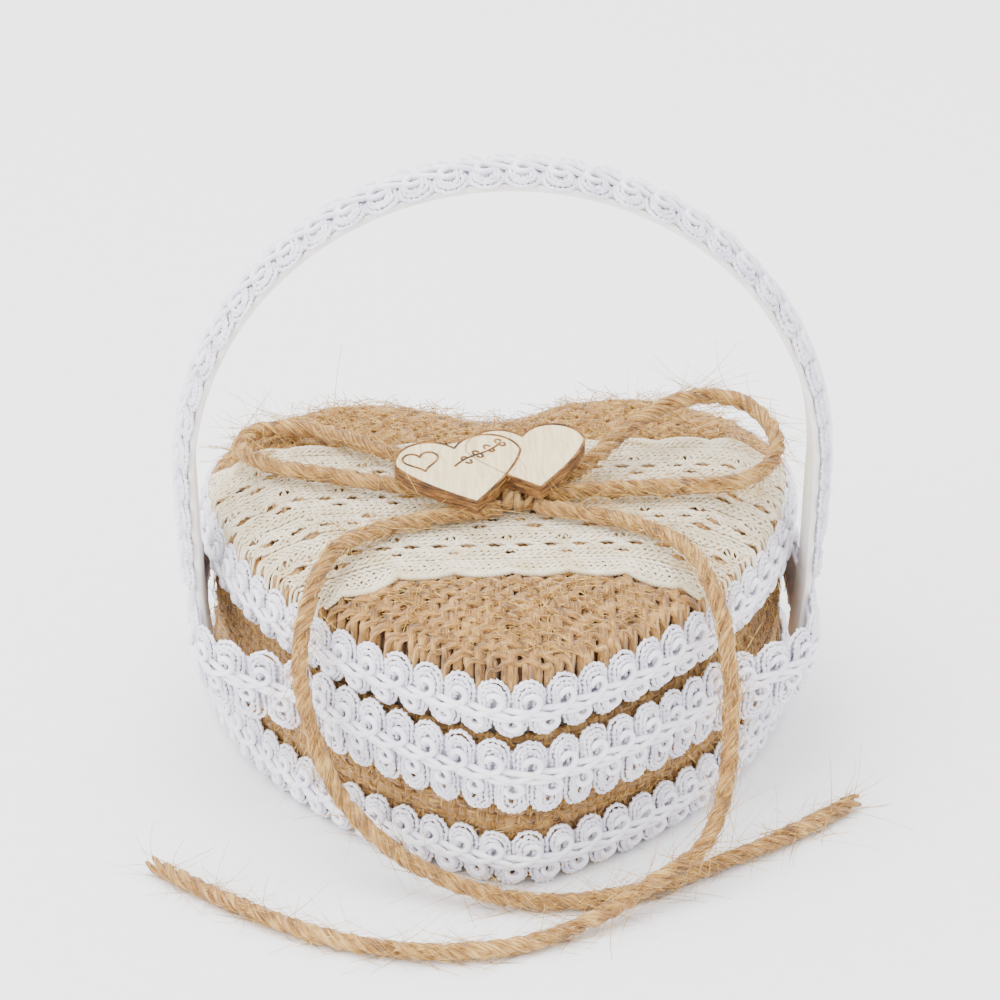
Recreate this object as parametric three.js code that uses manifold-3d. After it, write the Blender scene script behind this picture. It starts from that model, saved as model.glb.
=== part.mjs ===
// A heart-shaped ring box: card walls under burlap, white gimp braid, an arched
// handle, and a padded lid that opens on a cloth tape at the back of the lobes.
// Millimetres, +Z up. The box stands on z = 0 and its tip points to -Y.
import * as THREE from 'three';
import { mergeVertices } from 'three/addons/utils/BufferGeometryUtils.js';
import Module from 'manifold-3d';

const wasm = await Module();
wasm.setup();

// The heart's outline, at the outer face of the lid's braid
const lidWidth = 91.6;
const lidDepth = 88.2;
const lobeSpacing = lidWidth * (40 / 91.6);
const tipRadius = 11.5;
const cleftRadius = 4;
const sideRadius = 75;

// Clearances
const glueLine = 0.2; // between two glued pieces
const restGap = 0.3; // between pieces that only touch
const lidRimGap = 0.3; // from the box's rim up to the lid's braid

// The box, from outside to inside
const upperBraidOutset = 2.2; // past the outer face of the lid's braid
const lowerBraidOutset = 1.2;
const bodyBraidInset = 1.0; // the inner face of both body braids
const burlapThickness = 1.2;
const wallThickness = 1.5;
const neckThickness = 1.0;
const feltThickness = 0.8;
const baseThickness = 1.5;
const rimHeight = 27.4;
const neckRise = 0.4; // the neck stands this far above the rim
const upperBraidTop = rimHeight - 2;
const upperBraidWidth = 11.2;
const lowerBraidWidth = 8.8;

// The ring cushion inside
const cushionGap = 0.6;
const cushionHeight = 12;
const cushionRounding = 4;
const ringSlotLength = 26;
const ringSlotWidth = 4.8;
const ringSlotDepth = 7;

// The lid
const lidBraidThickness = 2.4;
const lidBraidWidth = 8.5;
const liningThickness = 0.6;
const lidBoardThickness = 2;
const lidTop = rimHeight + 12.8; // the burlap's highest point
const domeHeight = 5.7; // the curved part of the lid's top
const domeReach = 7; // how far inwards that curve runs
const smallestTip = 2; // the tip radius left inside that curve
const laceThickness = 0.8;
const laceFront = -24;
const laceBack = 18;

// The handle
const handleWidth = lidWidth + 8.4;
const handleTop = rimHeight + 67.6;
const handleBandWidth = 9;
const handleBandThickness = 1;
const handleBraidWidth = 10.6;
const handleBraidThickness = 2.4;
const handleFootHeight = 12;
const handleLegClearance = 0.4; // from the lid's braid to the band
const handlePocketGap = 0.3; // round the band inside the upper braid
const braidOverBand = 1.2; // the upper braid's thickness over the band

// The cloth hinge
const tapeWidth = 52;
const tapeThickness = 0.6;
const tapeHalfHeight = 6;

// The bow and the wooden hearts
const twineDiameter = 2.6;
const knotCentre = new THREE.Vector3(1.5, -4.5, lidTop + 2.95);
const knotRadii = new THREE.Vector3(3.4, 2.8, 1.45);
const woodThickness = 2.3;
const woodTilt = 0.15; // radians, the back edge up
const woodCentre = new THREE.Vector3(0, -5, lidTop + 4.95); // on its underside
const leftHeart = { width: 19.5, x: -6.9, y: 4.4, turn: 0.2 };
const rightHeart = { width: 18.5, x: 3.4, y: 7.4, turn: 0.15 };

const colours = {
  braid: '#ECEAF2',
  burlap: '#B98C5C',
  card: '#9C8F80',
  felt: '#D8CDB8',
  satin: '#EFE6D6',
  plastic: '#F2EEE8',
  lace: '#E6DCC4',
  twine: '#BE9257',
  wood: '#E6D3A6',
  tape: '#F3F2F4',
  paper: '#E9E2D2',
  wadding: '#F4F3F0',
};

const group = new THREE.Group();

function addPiece(name, geometry, colour, roughness, metalness = 0) {
  const material = new THREE.MeshStandardMaterial({ color: colour, roughness, metalness });
  const mesh = new THREE.Mesh(geometry, material);
  mesh.name = name;
  group.add(mesh);
  return mesh;
}

// Booleans: a closed geometry becomes a manifold solid, and back
function toSolid(geometry) {
  const bare = geometry.clone();
  bare.deleteAttribute('normal');
  bare.deleteAttribute('uv');
  const merged = mergeVertices(bare, 1e-4);
  const mesh = new wasm.Mesh({
    numProp: 3,
    vertProperties: merged.attributes.position.array,
    triVerts: Uint32Array.from(merged.index.array),
  });
  return new wasm.Manifold(mesh);
}

function toGeometry(solid) {
  const mesh = solid.getMesh();
  const geometry = new THREE.BufferGeometry();
  geometry.setAttribute('position', new THREE.BufferAttribute(mesh.vertProperties, 3));
  geometry.setIndex(new THREE.BufferAttribute(mesh.triVerts, 1));
  geometry.computeVertexNormals();
  return geometry;
}

// The heart is made of tangent arcs, so an inset copy keeps every centre.
// It sits forward by half of what the hinge tape adds, so that the origin stays
// under the middle of the whole object.
const heartShift = -(restGap + tapeThickness) / 2;
const heartBack = heartShift + lidDepth / 2;
const heartFront = heartShift - lidDepth / 2;
const lobeRadius = (lidWidth - lobeSpacing) / 2;
const lobeCentre = new THREE.Vector2(lobeSpacing / 2, heartBack - lobeRadius);
const tipCentre = new THREE.Vector2(0, heartFront + tipRadius);
const cleftLift = Math.sqrt((lobeRadius + cleftRadius) ** 2 - lobeCentre.x ** 2);
const cleftCentre = new THREE.Vector2(0, lobeCentre.y + cleftLift);

// The side arc touches the lobe and the tip from outside
function findSideCentre() {
  const toTip = tipCentre.clone().sub(lobeCentre);
  const distance = toTip.length();
  const reachLobe = sideRadius - lobeRadius;
  const reachTip = sideRadius - tipRadius;
  const along = (reachLobe ** 2 - reachTip ** 2 + distance ** 2) / (2 * distance);
  const across = Math.sqrt(reachLobe ** 2 - along ** 2);
  const direction = toTip.normalize();
  const foot = lobeCentre.clone().addScaledVector(direction, along);
  const normal = new THREE.Vector2(direction.y, -direction.x);
  return foot.addScaledVector(normal, across);
}

const sideCentre = findSideCentre();

function arcPoints(centre, radius, from, to, steps) {
  const points = [];
  for (let i = 0; i < steps; i += 1) {
    const angle = from + ((to - from) * i) / steps;
    const x = centre.x + radius * Math.cos(angle);
    const y = centre.y + radius * Math.sin(angle);
    points.push(new THREE.Vector2(x, y));
  }
  return points;
}

function angleOf(from, to) {
  return Math.atan2(to.y - from.y, to.x - from.x);
}

// The outline, moved inwards by inset, anticlockwise from the tip
function heartPoints(inset) {
  const sideAngle = angleOf(sideCentre, tipCentre);
  const lobeStart = angleOf(sideCentre, lobeCentre);
  const lobeEnd = angleOf(lobeCentre, cleftCentre);
  const right = [
    ...arcPoints(tipCentre, tipRadius - inset, -Math.PI / 2, sideAngle, 4),
    ...arcPoints(sideCentre, sideRadius - inset, sideAngle, lobeStart, 5),
    ...arcPoints(lobeCentre, lobeRadius - inset, lobeStart, lobeEnd, 12),
    ...arcPoints(cleftCentre, cleftRadius + inset, lobeEnd - Math.PI, -Math.PI / 2, 3),
  ];
  const cleft = new THREE.Vector2(0, cleftCentre.y - cleftRadius - inset);
  const left = right.slice(1).map((point) => new THREE.Vector2(-point.x, point.y));
  return [...right, cleft, ...left.reverse()];
}

// Half the heart's width at a given y on its side arc
function heartHalfWidth(inset, y) {
  const radius = sideRadius - inset;
  return sideCentre.x + Math.sqrt(radius ** 2 - (y - sideCentre.y) ** 2);
}

function heartPrism(inset, bottom, top) {
  const shape = new THREE.Shape(heartPoints(inset));
  const prism = new THREE.ExtrudeGeometry(shape, { depth: top - bottom, bevelEnabled: false });
  prism.translate(0, 0, bottom);
  return prism;
}

function heartRing(outerInset, innerInset, bottom, top) {
  const shape = new THREE.Shape(heartPoints(outerInset));
  shape.holes.push(new THREE.Path(heartPoints(innerInset)));
  const ring = new THREE.ExtrudeGeometry(shape, { depth: top - bottom, bevelEnabled: false });
  ring.translate(0, 0, bottom);
  return ring;
}

// A heart prism whose top edge is rounded over, rise high and reach wide. The
// reach is limited by the tip's own radius.
function heartDome(inset, bottom, top, rise, wantedReach) {
  const reach = Math.min(wantedReach, tipRadius - inset - smallestTip);
  const shape = new THREE.Shape(heartPoints(inset));
  const dome = new THREE.ExtrudeGeometry(shape, {
    depth: top - rise - bottom,
    bevelEnabled: true,
    bevelThickness: rise,
    bevelSize: reach,
    bevelOffset: -reach,
    bevelSegments: 4,
  });
  dome.translate(0, 0, bottom);
  const above = heartPrism(inset - restGap, bottom, top + restGap);
  return toSolid(dome).intersect(toSolid(above));
}

function boxSolid(width, depth, height, x, y, z) {
  const box = new THREE.BoxGeometry(width, depth, height);
  box.translate(x, y, z);
  return toSolid(box);
}

// The handle is an upright strip: two legs, each leaning out from the box's
// side to the arch, and a half circle. The outline is drawn in X and Z, then
// extruded along Y. offset moves the strip's face outwards from the arch.
const wallFaceInset = bodyBraidInset + glueLine;
const bandOuterRadius = handleWidth / 2 - handleBraidThickness - glueLine;
const bandInnerRadius = bandOuterRadius - handleBandThickness;
const archCentreHeight = handleTop - handleWidth / 2;
const bandHalf = handleBandWidth / 2;
const footInner = heartHalfWidth(wallFaceInset, bandHalf) + glueLine;
const lidBraidBottom = rimHeight + lidRimGap;
const rimInner = heartHalfWidth(0, bandHalf) + handleLegClearance;

function handleSide(offset, bottom) {
  const points = [];
  const lean = (rimInner - footInner) / (lidBraidBottom - handleFootHeight);
  const footX = footInner + lean * (bottom - handleFootHeight);
  points.push(new THREE.Vector2(footX + offset, bottom));
  points.push(new THREE.Vector2(rimInner + offset, lidBraidBottom));
  const arch = new THREE.Vector2(0, archCentreHeight);
  points.push(...arcPoints(arch, bandInnerRadius + offset, 0, Math.PI / 2, 14));
  return points;
}

function handleStrip(innerOffset, thickness, width, bottom) {
  const inner = handleSide(innerOffset, bottom);
  const outer = handleSide(innerOffset + thickness, bottom);
  const mirror = (point) => new THREE.Vector2(-point.x, point.y);
  const top = (offset) => new THREE.Vector2(0, archCentreHeight + bandInnerRadius + offset);
  const outline = [
    ...outer,
    top(innerOffset + thickness),
    ...outer.map(mirror).reverse(),
    ...inner.map(mirror),
    top(innerOffset),
    ...inner.reverse(),
  ];
  const shape = new THREE.Shape(outline);
  const strip = new THREE.ExtrudeGeometry(shape, { depth: width, bevelEnabled: false });
  strip.rotateX(Math.PI / 2);
  strip.translate(0, width / 2, 0);
  return strip;
}

// The box's card floor, its wall and its liner
const floorInset = wallFaceInset + burlapThickness + glueLine;
const floorBottom = feltThickness + glueLine;
const floorTop = floorBottom + baseThickness;
const wallBottom = floorTop + glueLine;
const neckInset = floorInset + wallThickness + glueLine;
const neckTop = rimHeight + neckRise;

function addBoxShell() {
  const burlapInner = wallFaceInset + burlapThickness;
  addPiece('base_felt', heartPrism(floorInset, 0, feltThickness), colours.felt, 0.95);
  addPiece('base_board', heartPrism(floorInset, floorBottom, floorTop), colours.card, 0.9);
  const burlap = heartRing(wallFaceInset, burlapInner, glueLine, rimHeight);
  addPiece('body_burlap', burlap, colours.burlap, 0.95);
  const wall = heartRing(floorInset, floorInset + wallThickness, wallBottom, rimHeight);
  addPiece('body_wall', wall, colours.card, 0.9);
  const neck = heartRing(neckInset, neckInset + neckThickness, wallBottom, neckTop);
  addPiece('inner_neck', neck, colours.card, 0.85);
}

function addBodyBraids() {
  const upperBottom = upperBraidTop - upperBraidWidth;
  const upper = heartRing(-upperBraidOutset, bodyBraidInset, upperBottom, upperBraidTop);
  const pocketWidth = handleBandWidth + 2 * handlePocketGap;
  const pocketThickness = handleBandThickness + 2 * handlePocketGap;
  const pocket = handleStrip(-handlePocketGap, pocketThickness, pocketWidth, handleFootHeight);
  const bulgeWidth = pocketWidth + 2 * braidOverBand;
  const bulgeThickness = pocketThickness + braidOverBand;
  const bulge = handleStrip(-handlePocketGap, bulgeThickness, bulgeWidth, upperBottom);
  const braidHeight = boxSolid(
    2 * handleWidth, bulgeWidth, upperBraidWidth, 0, 0, upperBottom + upperBraidWidth / 2);
  const inside = heartPrism(bodyBraidInset, upperBottom - restGap, upperBraidTop + restGap);
  const bulges = toSolid(bulge).intersect(braidHeight).subtract(toSolid(inside));
  const notched = toSolid(upper).add(bulges).subtract(toSolid(pocket));
  addPiece('body_upper_braid', toGeometry(notched), colours.braid, 0.55);
  const lower = heartRing(-lowerBraidOutset, bodyBraidInset, 0, lowerBraidWidth);
  addPiece('body_lower_braid', lower, colours.braid, 0.55);
}

function addHandle() {
  const band = handleStrip(0, handleBandThickness, handleBandWidth, handleFootHeight);
  addPiece('handle_band', band, colours.plastic, 0.45);
  const offset = handleBandThickness + glueLine;
  const bottom = upperBraidTop + restGap;
  const braid = handleStrip(offset, handleBraidThickness, handleBraidWidth, bottom);
  addPiece('handle_braid', braid, colours.braid, 0.55);
}

function addRingCushion() {
  const inset = neckInset + neckThickness + cushionGap;
  const top = wallBottom + cushionHeight;
  const pad = heartDome(inset, wallBottom, top, cushionRounding, cushionRounding);
  const slot = boxSolid(ringSlotLength, ringSlotWidth, 2 * ringSlotDepth, 0, 0, top);
  addPiece('ring_cushion', toGeometry(pad.subtract(slot)), colours.satin, 0.6);
}

// The lid rests on the neck
const lidBoardInset = lidBraidThickness + 2 * glueLine + burlapThickness;
const liningBottom = neckTop + glueLine;
const boardBottom = liningBottom + liningThickness + glueLine;
const boardTop = boardBottom + lidBoardThickness;
const coverInset = lidBraidThickness + glueLine;

function addLidShell() {
  const lining = heartPrism(lidBoardInset, liningBottom, liningBottom + liningThickness);
  addPiece('lid_lining', lining, colours.paper, 0.9);
  const board = heartPrism(lidBoardInset, boardBottom, boardTop);
  addPiece('lid_board', board, colours.card, 0.9);
  const coverBottom = lidTop - burlapThickness;
  const outer = heartDome(coverInset, boardBottom, lidTop, domeHeight, domeReach);
  const hollowInset = coverInset + burlapThickness;
  const hollowBottom = boardBottom - restGap;
  const hollow = heartDome(hollowInset, hollowBottom, coverBottom, domeHeight, domeReach);
  addPiece('lid_cover', toGeometry(outer.subtract(hollow)), colours.burlap, 0.95);
  const paddingBottom = boardTop + glueLine;
  const paddingTop = coverBottom - glueLine;
  const padding = heartDome(
    hollowInset + glueLine, paddingBottom, paddingTop, domeHeight, domeReach);
  addPiece('lid_padding', toGeometry(padding), colours.wadding, 0.95);
  const braid = heartRing(0, lidBraidThickness, lidBraidBottom, lidBraidBottom + lidBraidWidth);
  addPiece('lid_braid', braid, colours.braid, 0.55);
}

// The lace lies over the dome and ends at the braid's upper edge
const laceTop = lidTop + restGap + laceThickness;

function addLace() {
  const bottom = lidBraidBottom + lidBraidWidth + restGap;
  const outerInset = coverInset - restGap - laceThickness;
  const outer = heartDome(outerInset, boardBottom, laceTop, domeHeight, domeReach);
  const innerInset = coverInset - restGap;
  const innerTop = lidTop + restGap;
  const hollow = heartDome(innerInset, boardBottom, innerTop, domeHeight, domeReach);
  const depth = laceBack - laceFront;
  const middle = (laceFront + laceBack) / 2;
  const height = 2 * (laceTop - bottom);
  const band = boxSolid(2 * lidWidth, depth, height, 0, middle, bottom + height / 2);
  const lace = outer.subtract(hollow).intersect(band);
  addPiece('lace_band', toGeometry(lace), colours.lace, 0.9);
}

// A cotton tape glued across the backs of the lobes: its two halves meet at the hinge
function addHingeTape() {
  const y = heartBack + upperBraidOutset + restGap + tapeThickness / 2;
  const hingeHeight = lidBraidBottom - restGap;
  const half = new THREE.BoxGeometry(tapeWidth, tapeThickness, tapeHalfHeight);
  const lower = half.clone();
  lower.translate(0, y, hingeHeight - restGap / 2 - tapeHalfHeight / 2);
  addPiece('hinge_tape_body', lower, colours.tape, 0.8);
  const upper = half.clone();
  upper.translate(0, y, hingeHeight + restGap / 2 + tapeHalfHeight / 2);
  addPiece('hinge_tape_lid', upper, colours.tape, 0.8);
}

// Twine: an eight-sided tube along hand-chosen points
function twine(points, steps) {
  const curve = new THREE.CatmullRomCurve3(points, false, 'centripetal');
  const section = new THREE.Shape(
    arcPoints(new THREE.Vector2(), twineDiameter / 2, 0, 2 * Math.PI, 8));
  return new THREE.ExtrudeGeometry(section, { extrudePath: curve, steps, bevelEnabled: false });
}

// Each route's points are chosen by hand, in millimetres
function route(...coordinates) {
  return coordinates.map(([x, y, z]) => new THREE.Vector3(x, y, z));
}

const loopLeftRoute = route(
  [-2.6, -1.9, 43.2], [-9, 4, 43.4], [-20, 13.5, 43.4], [-29, 20.5, 43.0], [-37, 21.5, 42.6],
  [-40, 15.5, 42.6], [-36, 9, 43.0], [-26, 4, 43.2], [-14, -0.5, 43.2], [-3.2, -4.1, 43.2]);
const loopRightRoute = route(
  [5.4, -2.2, 43.3], [13, 4, 44.5], [21, 12, 47], [30, 17.5, 48.5], [37.5, 17, 48],
  [42, 10.5, 46.2], [41.5, 4, 44.4], [36, -1.5, 43.5], [25, -2.4, 43.2], [14, -2.6, 43.2],
  [6.3, -4.2, 43.2]);
const tailLeftRoute = route(
  [-1.0, -7.4, 42.9], [-9, -9.5, 42.9], [-18, -13, 42.9], [-25.7, -19, 42.6], [-29.6, -26, 38.4],
  [-31.3, -31, 31.3], [-30, -35, 22], [-25.5, -40, 12.5], [-17, -45.5, 6], [-6, -50, 2.6],
  [4, -51.5, 1.5], [15, -50, 1.5], [26, -44.5, 1.5], [38, -37, 1.5], [52, -26, 1.5]);
const tailRightRoute = route(
  [4.4, -7.3, 42.9], [12, -10, 42.9], [20, -14.5, 42.9], [26, -21, 42.4], [29.5, -28, 38],
  [31, -33.5, 30.4], [31, -38, 21], [29.5, -42.5, 12], [26, -47, 6.8], [19, -51.5, 4.4],
  [10, -57, 2.2], [0, -62, 1.5], [-12, -63.5, 1.5], [-26, -60, 1.5], [-41, -50, 1.5],
  [-54, -38, 1.5]);

function addBow() {
  const knot = new THREE.SphereGeometry(1, 16, 10);
  knot.scale(knotRadii.x, knotRadii.y, knotRadii.z);
  knot.translate(knotCentre.x, knotCentre.y, knotCentre.z);
  addPiece('bow_knot', knot, colours.twine, 0.95);
  addPiece('bow_loop_left', twine(loopLeftRoute, 24), colours.twine, 0.95);
  addPiece('bow_loop_right', twine(loopRightRoute, 26), colours.twine, 0.95);
  addPiece('twine_tail_left', twine(tailLeftRoute, 38), colours.twine, 0.95);
  addPiece('twine_tail_right', twine(tailRightRoute, 42), colours.twine, 0.95);
}

// A plywood heart: two round lobes on the line y = 0, and curved sides to a point
function woodHeart({ width, x, y, turn }) {
  const lobeX = 0.23 * width;
  const radius = 0.27 * width;
  const cleftAngle = Math.acos(-lobeX / radius);
  const shape = new THREE.Shape();
  shape.moveTo(0, -0.6 * width);
  shape.quadraticCurveTo(0.41 * width, -0.24 * width, lobeX + radius, 0);
  shape.absarc(lobeX, 0, radius, 0, cleftAngle, false);
  shape.absarc(-lobeX, 0, radius, Math.PI - cleftAngle, Math.PI, false);
  shape.quadraticCurveTo(-0.41 * width, -0.24 * width, 0, -0.6 * width);
  const heart = new THREE.ExtrudeGeometry(shape, {
    depth: woodThickness, bevelEnabled: false, curveSegments: 8 });
  heart.rotateZ(turn);
  heart.translate(x, y, 0);
  return toSolid(heart);
}

function addWoodenHearts() {
  const pair = toGeometry(woodHeart(leftHeart).add(woodHeart(rightHeart)));
  const mesh = addPiece('wooden_hearts', pair, colours.wood, 0.7);
  mesh.rotation.x = woodTilt;
  mesh.position.copy(woodCentre);
}

addBoxShell();
addBodyBraids();
addHandle();
addRingCushion();
addLidShell();
addLace();
addHingeTape();
addBow();
addWoodenHearts();

export default group;
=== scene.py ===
# %% [markdown]
# # A heart-shaped ring box in burlap, braid, lace and twine
# The real box is card under burlap. White gimp braid hides every edge, an arched
# strip of plastic makes the handle, and a padded lid turns on a cotton tape at the
# back. Almost all of it is thread, so this script models thread: each braid, weave
# and cord is laid out as tubes that follow the CAD model's shape.

# %% Load the frame
import math
import bpy
import numpy as np
from mathutils import Matrix, Vector
from mathutils.bvhtree import BVHTree


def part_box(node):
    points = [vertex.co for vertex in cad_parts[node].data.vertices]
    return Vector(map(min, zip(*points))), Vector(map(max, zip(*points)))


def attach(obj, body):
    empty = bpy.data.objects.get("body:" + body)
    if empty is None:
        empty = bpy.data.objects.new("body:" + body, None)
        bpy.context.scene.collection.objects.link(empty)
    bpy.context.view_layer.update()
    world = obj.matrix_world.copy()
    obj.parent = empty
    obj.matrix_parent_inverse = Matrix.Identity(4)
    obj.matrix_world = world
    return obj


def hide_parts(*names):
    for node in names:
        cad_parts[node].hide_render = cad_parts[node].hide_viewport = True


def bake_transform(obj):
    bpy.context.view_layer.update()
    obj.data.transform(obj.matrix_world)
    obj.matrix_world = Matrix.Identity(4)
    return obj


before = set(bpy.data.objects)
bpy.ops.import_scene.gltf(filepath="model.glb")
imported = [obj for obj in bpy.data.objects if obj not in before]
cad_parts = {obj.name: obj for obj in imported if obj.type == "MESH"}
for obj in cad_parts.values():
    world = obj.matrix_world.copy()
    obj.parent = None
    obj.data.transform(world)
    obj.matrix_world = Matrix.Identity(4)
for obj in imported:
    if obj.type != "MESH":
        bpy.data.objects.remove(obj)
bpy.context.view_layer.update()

MM = 0.001
TAU = 2 * math.pi

# %% [markdown]
# ## Camera
# A long lens from a little above and slightly left of the box's point. It is placed
# by its distance, its turn and its elevation, and then raised along its own up axis
# so that the handle and the loose twine both fit.

# %% Place the camera
LENS_MM = 135.3
ELEVATION = math.radians(27.1)
TURN = math.radians(3.0)
DISTANCE = 588.5 * MM
RAISE = 35.8 * MM
SIDESTEP = -0.56 * MM

camera_data = bpy.data.cameras.new("camera")
camera_data.lens = LENS_MM
camera_data.sensor_width = 36
camera = bpy.data.objects.new("camera", camera_data)
bpy.context.scene.collection.objects.link(camera)
camera.rotation_euler = (math.pi / 2 - ELEVATION, 0, -TURN)
view = camera.rotation_euler.to_matrix()
camera.location = view @ Vector((SIDESTEP, RAISE, DISTANCE)) + Vector((0, 0.35 * MM, 0))
bpy.context.scene.camera = camera
print("camera at mm", [round(c / MM) for c in camera.location])

# %% [markdown]
# ## Thread as geometry
# A thread is a tube along a path. Blender's curves could do this one by one, but
# there are thousands here, so one function sweeps a ring along many paths at once
# with numpy. Each tube keeps its length and its turn in the UV map, so a material
# can run fibres along it.

# %% Sweep tubes along paths
def unit(vectors):
    size = np.linalg.norm(vectors, axis=-1, keepdims=True)
    return vectors / np.maximum(size, 1e-9)


def run_along(line):
    """The length along a line at each of its points."""
    return np.concatenate([[0], np.cumsum(np.linalg.norm(np.diff(line, axis=0), axis=1))])


def evenly(line, runs, count, endpoint=True):
    """A line resampled to this many points, at even distances along it."""
    even = np.linspace(0, runs[-1], count, endpoint=endpoint)
    return np.stack([np.interp(even, runs, column) for column in line.T], -1)


def slopes(paths, closed):
    if closed:
        return np.roll(paths, -1, 1) - np.roll(paths, 1, 1)
    return np.gradient(paths, axis=1)


def tubes(paths, facing, radii, sides=6, closed=False):
    """Points, quads, end caps and UVs of tubes; paths is tubes x points x 3."""
    paths = np.asarray(paths, float)
    count, length = paths.shape[:2]
    tangent = unit(slopes(paths, closed))
    across = unit(np.cross(tangent, np.broadcast_to(facing, paths.shape)))
    lift = np.cross(across, tangent)
    turn = np.arange(sides) * TAU / sides
    ring = across[:, :, None] * np.cos(turn)[:, None] + lift[:, :, None] * np.sin(turn)[:, None]
    radii = np.asarray(radii, float)
    if radii.ndim < 3:
        radii = np.broadcast_to(radii, (count, length))[..., None]
    radii = np.broadcast_to(radii, (count, length, sides))
    points = paths[:, :, None] + ring * radii[..., None]
    index = np.arange(count * length * sides).reshape(count, length, sides)
    here, after = (index, np.roll(index, -1, 1)) if closed else (index[:, :-1], index[:, 1:])
    quads = np.stack([here, after, np.roll(after, -1, 2), np.roll(here, -1, 2)], -1)
    steps = np.linalg.norm(np.diff(paths, axis=1), axis=-1) / MM
    run = np.concatenate([np.zeros((count, 1)), np.cumsum(steps, 1)], 1)
    run = run[:, : here.shape[1]]
    stride = np.full(run.shape, steps.mean())
    low = np.broadcast_to(np.arange(sides) / sides, here.shape)
    high = low + 1 / sides
    start = np.broadcast_to(run[..., None], here.shape)
    end = start + stride[..., None]
    uv = np.stack([np.stack([start, low], -1), np.stack([end, low], -1),
                   np.stack([end, high], -1), np.stack([start, high], -1)], -2)
    caps = np.zeros((0, sides), int)
    if not closed:
        caps = np.concatenate([index[:, 0], index[:, -1, ::-1]])
    return points.reshape(-1, 3), quads.reshape(-1, 4), caps, uv.reshape(-1, 4, 2)


def joined(parts):
    """Several results of tubes, as one."""
    shift, points, quads, caps, uvs = 0, [], [], [], []
    for part_points, part_quads, part_caps, part_uvs in parts:
        points.append(part_points)
        quads.append(part_quads + shift)
        caps.extend(np.asarray(cap) + shift for cap in part_caps)
        uvs.append(part_uvs)
        shift += len(part_points)
    return np.concatenate(points), np.concatenate(quads), caps, np.concatenate(uvs)


# %% [markdown]
# ### Meshes from arrays
# Blender takes a whole mesh at once through foreach_set, which is far quicker than
# adding faces one by one. Each finished piece is then tied to its body.

# %% Turn arrays into an object
def object_from(name, points, quads, caps=(), uvs=None, smooth=True):
    mesh = bpy.data.meshes.new(name)
    quads = np.asarray(quads)
    corners = np.concatenate([quads.ravel()] + [np.asarray(cap) for cap in caps])
    sizes = np.concatenate([np.full(len(quads), 4), [len(cap) for cap in caps]]).astype(int)
    starts = np.concatenate([[0], np.cumsum(sizes)[:-1]])
    mesh.vertices.add(len(points))
    mesh.vertices.foreach_set("co", np.asarray(points, np.float32).ravel())
    mesh.loops.add(len(corners))
    mesh.loops.foreach_set("vertex_index", corners.astype(np.int32))
    mesh.polygons.add(len(sizes))
    mesh.polygons.foreach_set("loop_start", starts.astype(np.int32))
    mesh.update(calc_edges=True)
    if uvs is not None:
        layer = mesh.uv_layers.new(name="thread")
        flat = np.zeros((len(corners), 2), np.float32)
        flat[: 4 * len(quads)] = uvs.reshape(-1, 2)
        layer.data.foreach_set("uv", flat.ravel())
    mesh.polygons.foreach_set("use_smooth", np.full(len(sizes), smooth))
    piece = bpy.data.objects.new(name, mesh)
    bpy.context.scene.collection.objects.link(piece)
    return piece


def fit(piece, material, body, slot, *nodes):
    """Give a piece its material and its body, and hide the CAD nodes it stands for; slot is not
    used.
    """
    piece.data.materials.append(material)
    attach(piece, body)
    if nodes:
        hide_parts(*nodes)
    print(piece.name, "has", len(piece.data.polygons), "faces")
    return piece


# %% [markdown]
# ## Materials
# Every colour is written as a screen hex value and turned to linear once. Every
# material is named for what the real thing is made of. Patterns are sized in
# millimetres: one Blender unit is a metre here, so a pattern of 1 mm needs a scale
# of about a thousand.

# %% Colour and node helpers
def linear(hex_colour):
    digits = hex_colour.lstrip("#")
    channels = [int(digits[i:i + 2], 16) / 255 for i in (0, 2, 4)]
    flat = [c / 12.92 if c <= 0.04045 else ((c + 0.055) / 1.055) ** 2.4 for c in channels]
    return (*flat, 1.0)


def add_node(tree, kind, inputs=None, **settings):
    """Add one node, set its properties, and set or link its inputs."""
    node = tree.nodes.new(kind)
    for key, value in settings.items():
        setattr(node, key, value)
    for key, value in (inputs or {}).items():
        if isinstance(value, bpy.types.NodeSocket):
            tree.links.new(value, node.inputs[key])
        else:
            node.inputs[key].default_value = value
    return node


def new_material(name, roughness, **sockets):
    """A material with its Principled shader, whose plain numbers are set directly."""
    material = bpy.data.materials.new(name)
    material.use_nodes = True
    shader = material.node_tree.nodes["Principled BSDF"]
    shader.inputs["Roughness"].default_value = roughness
    for key, value in sockets.items():
        shader.inputs[key.replace("_", " ")].default_value = value
    return material, material.node_tree, shader


def blend_colours(tree, factor, stops):
    """A colour ramp through (position, hex) stops."""
    ramp = add_node(tree, "ShaderNodeValToRGB", {"Fac": factor})
    elements = ramp.color_ramp.elements
    while len(elements) < len(stops):
        elements.new(0.5)
    for element, (position, colour) in zip(elements, stops):
        element.position = position
        element.color = linear(colour)
    return ramp.outputs["Color"]


def raise_bump(tree, shader, height, distance, strength=1.0):
    bump = add_node(tree, "ShaderNodeBump",
                    {"Height": height, "Distance": distance, "Strength": strength})
    tree.links.new(bump.outputs["Normal"], shader.inputs["Normal"])


# %% [markdown]
# ### Jute
# Jute is a dry, coarse bast fibre. Burlap and twine are both spun from it, so both
# get long streaks of straw and brown along the yarn, a dry surface and a little
# sheen from stray fibre. The UV map runs along each yarn in millimetres, which
# keeps the streaks lengthwise on every bend.

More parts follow.
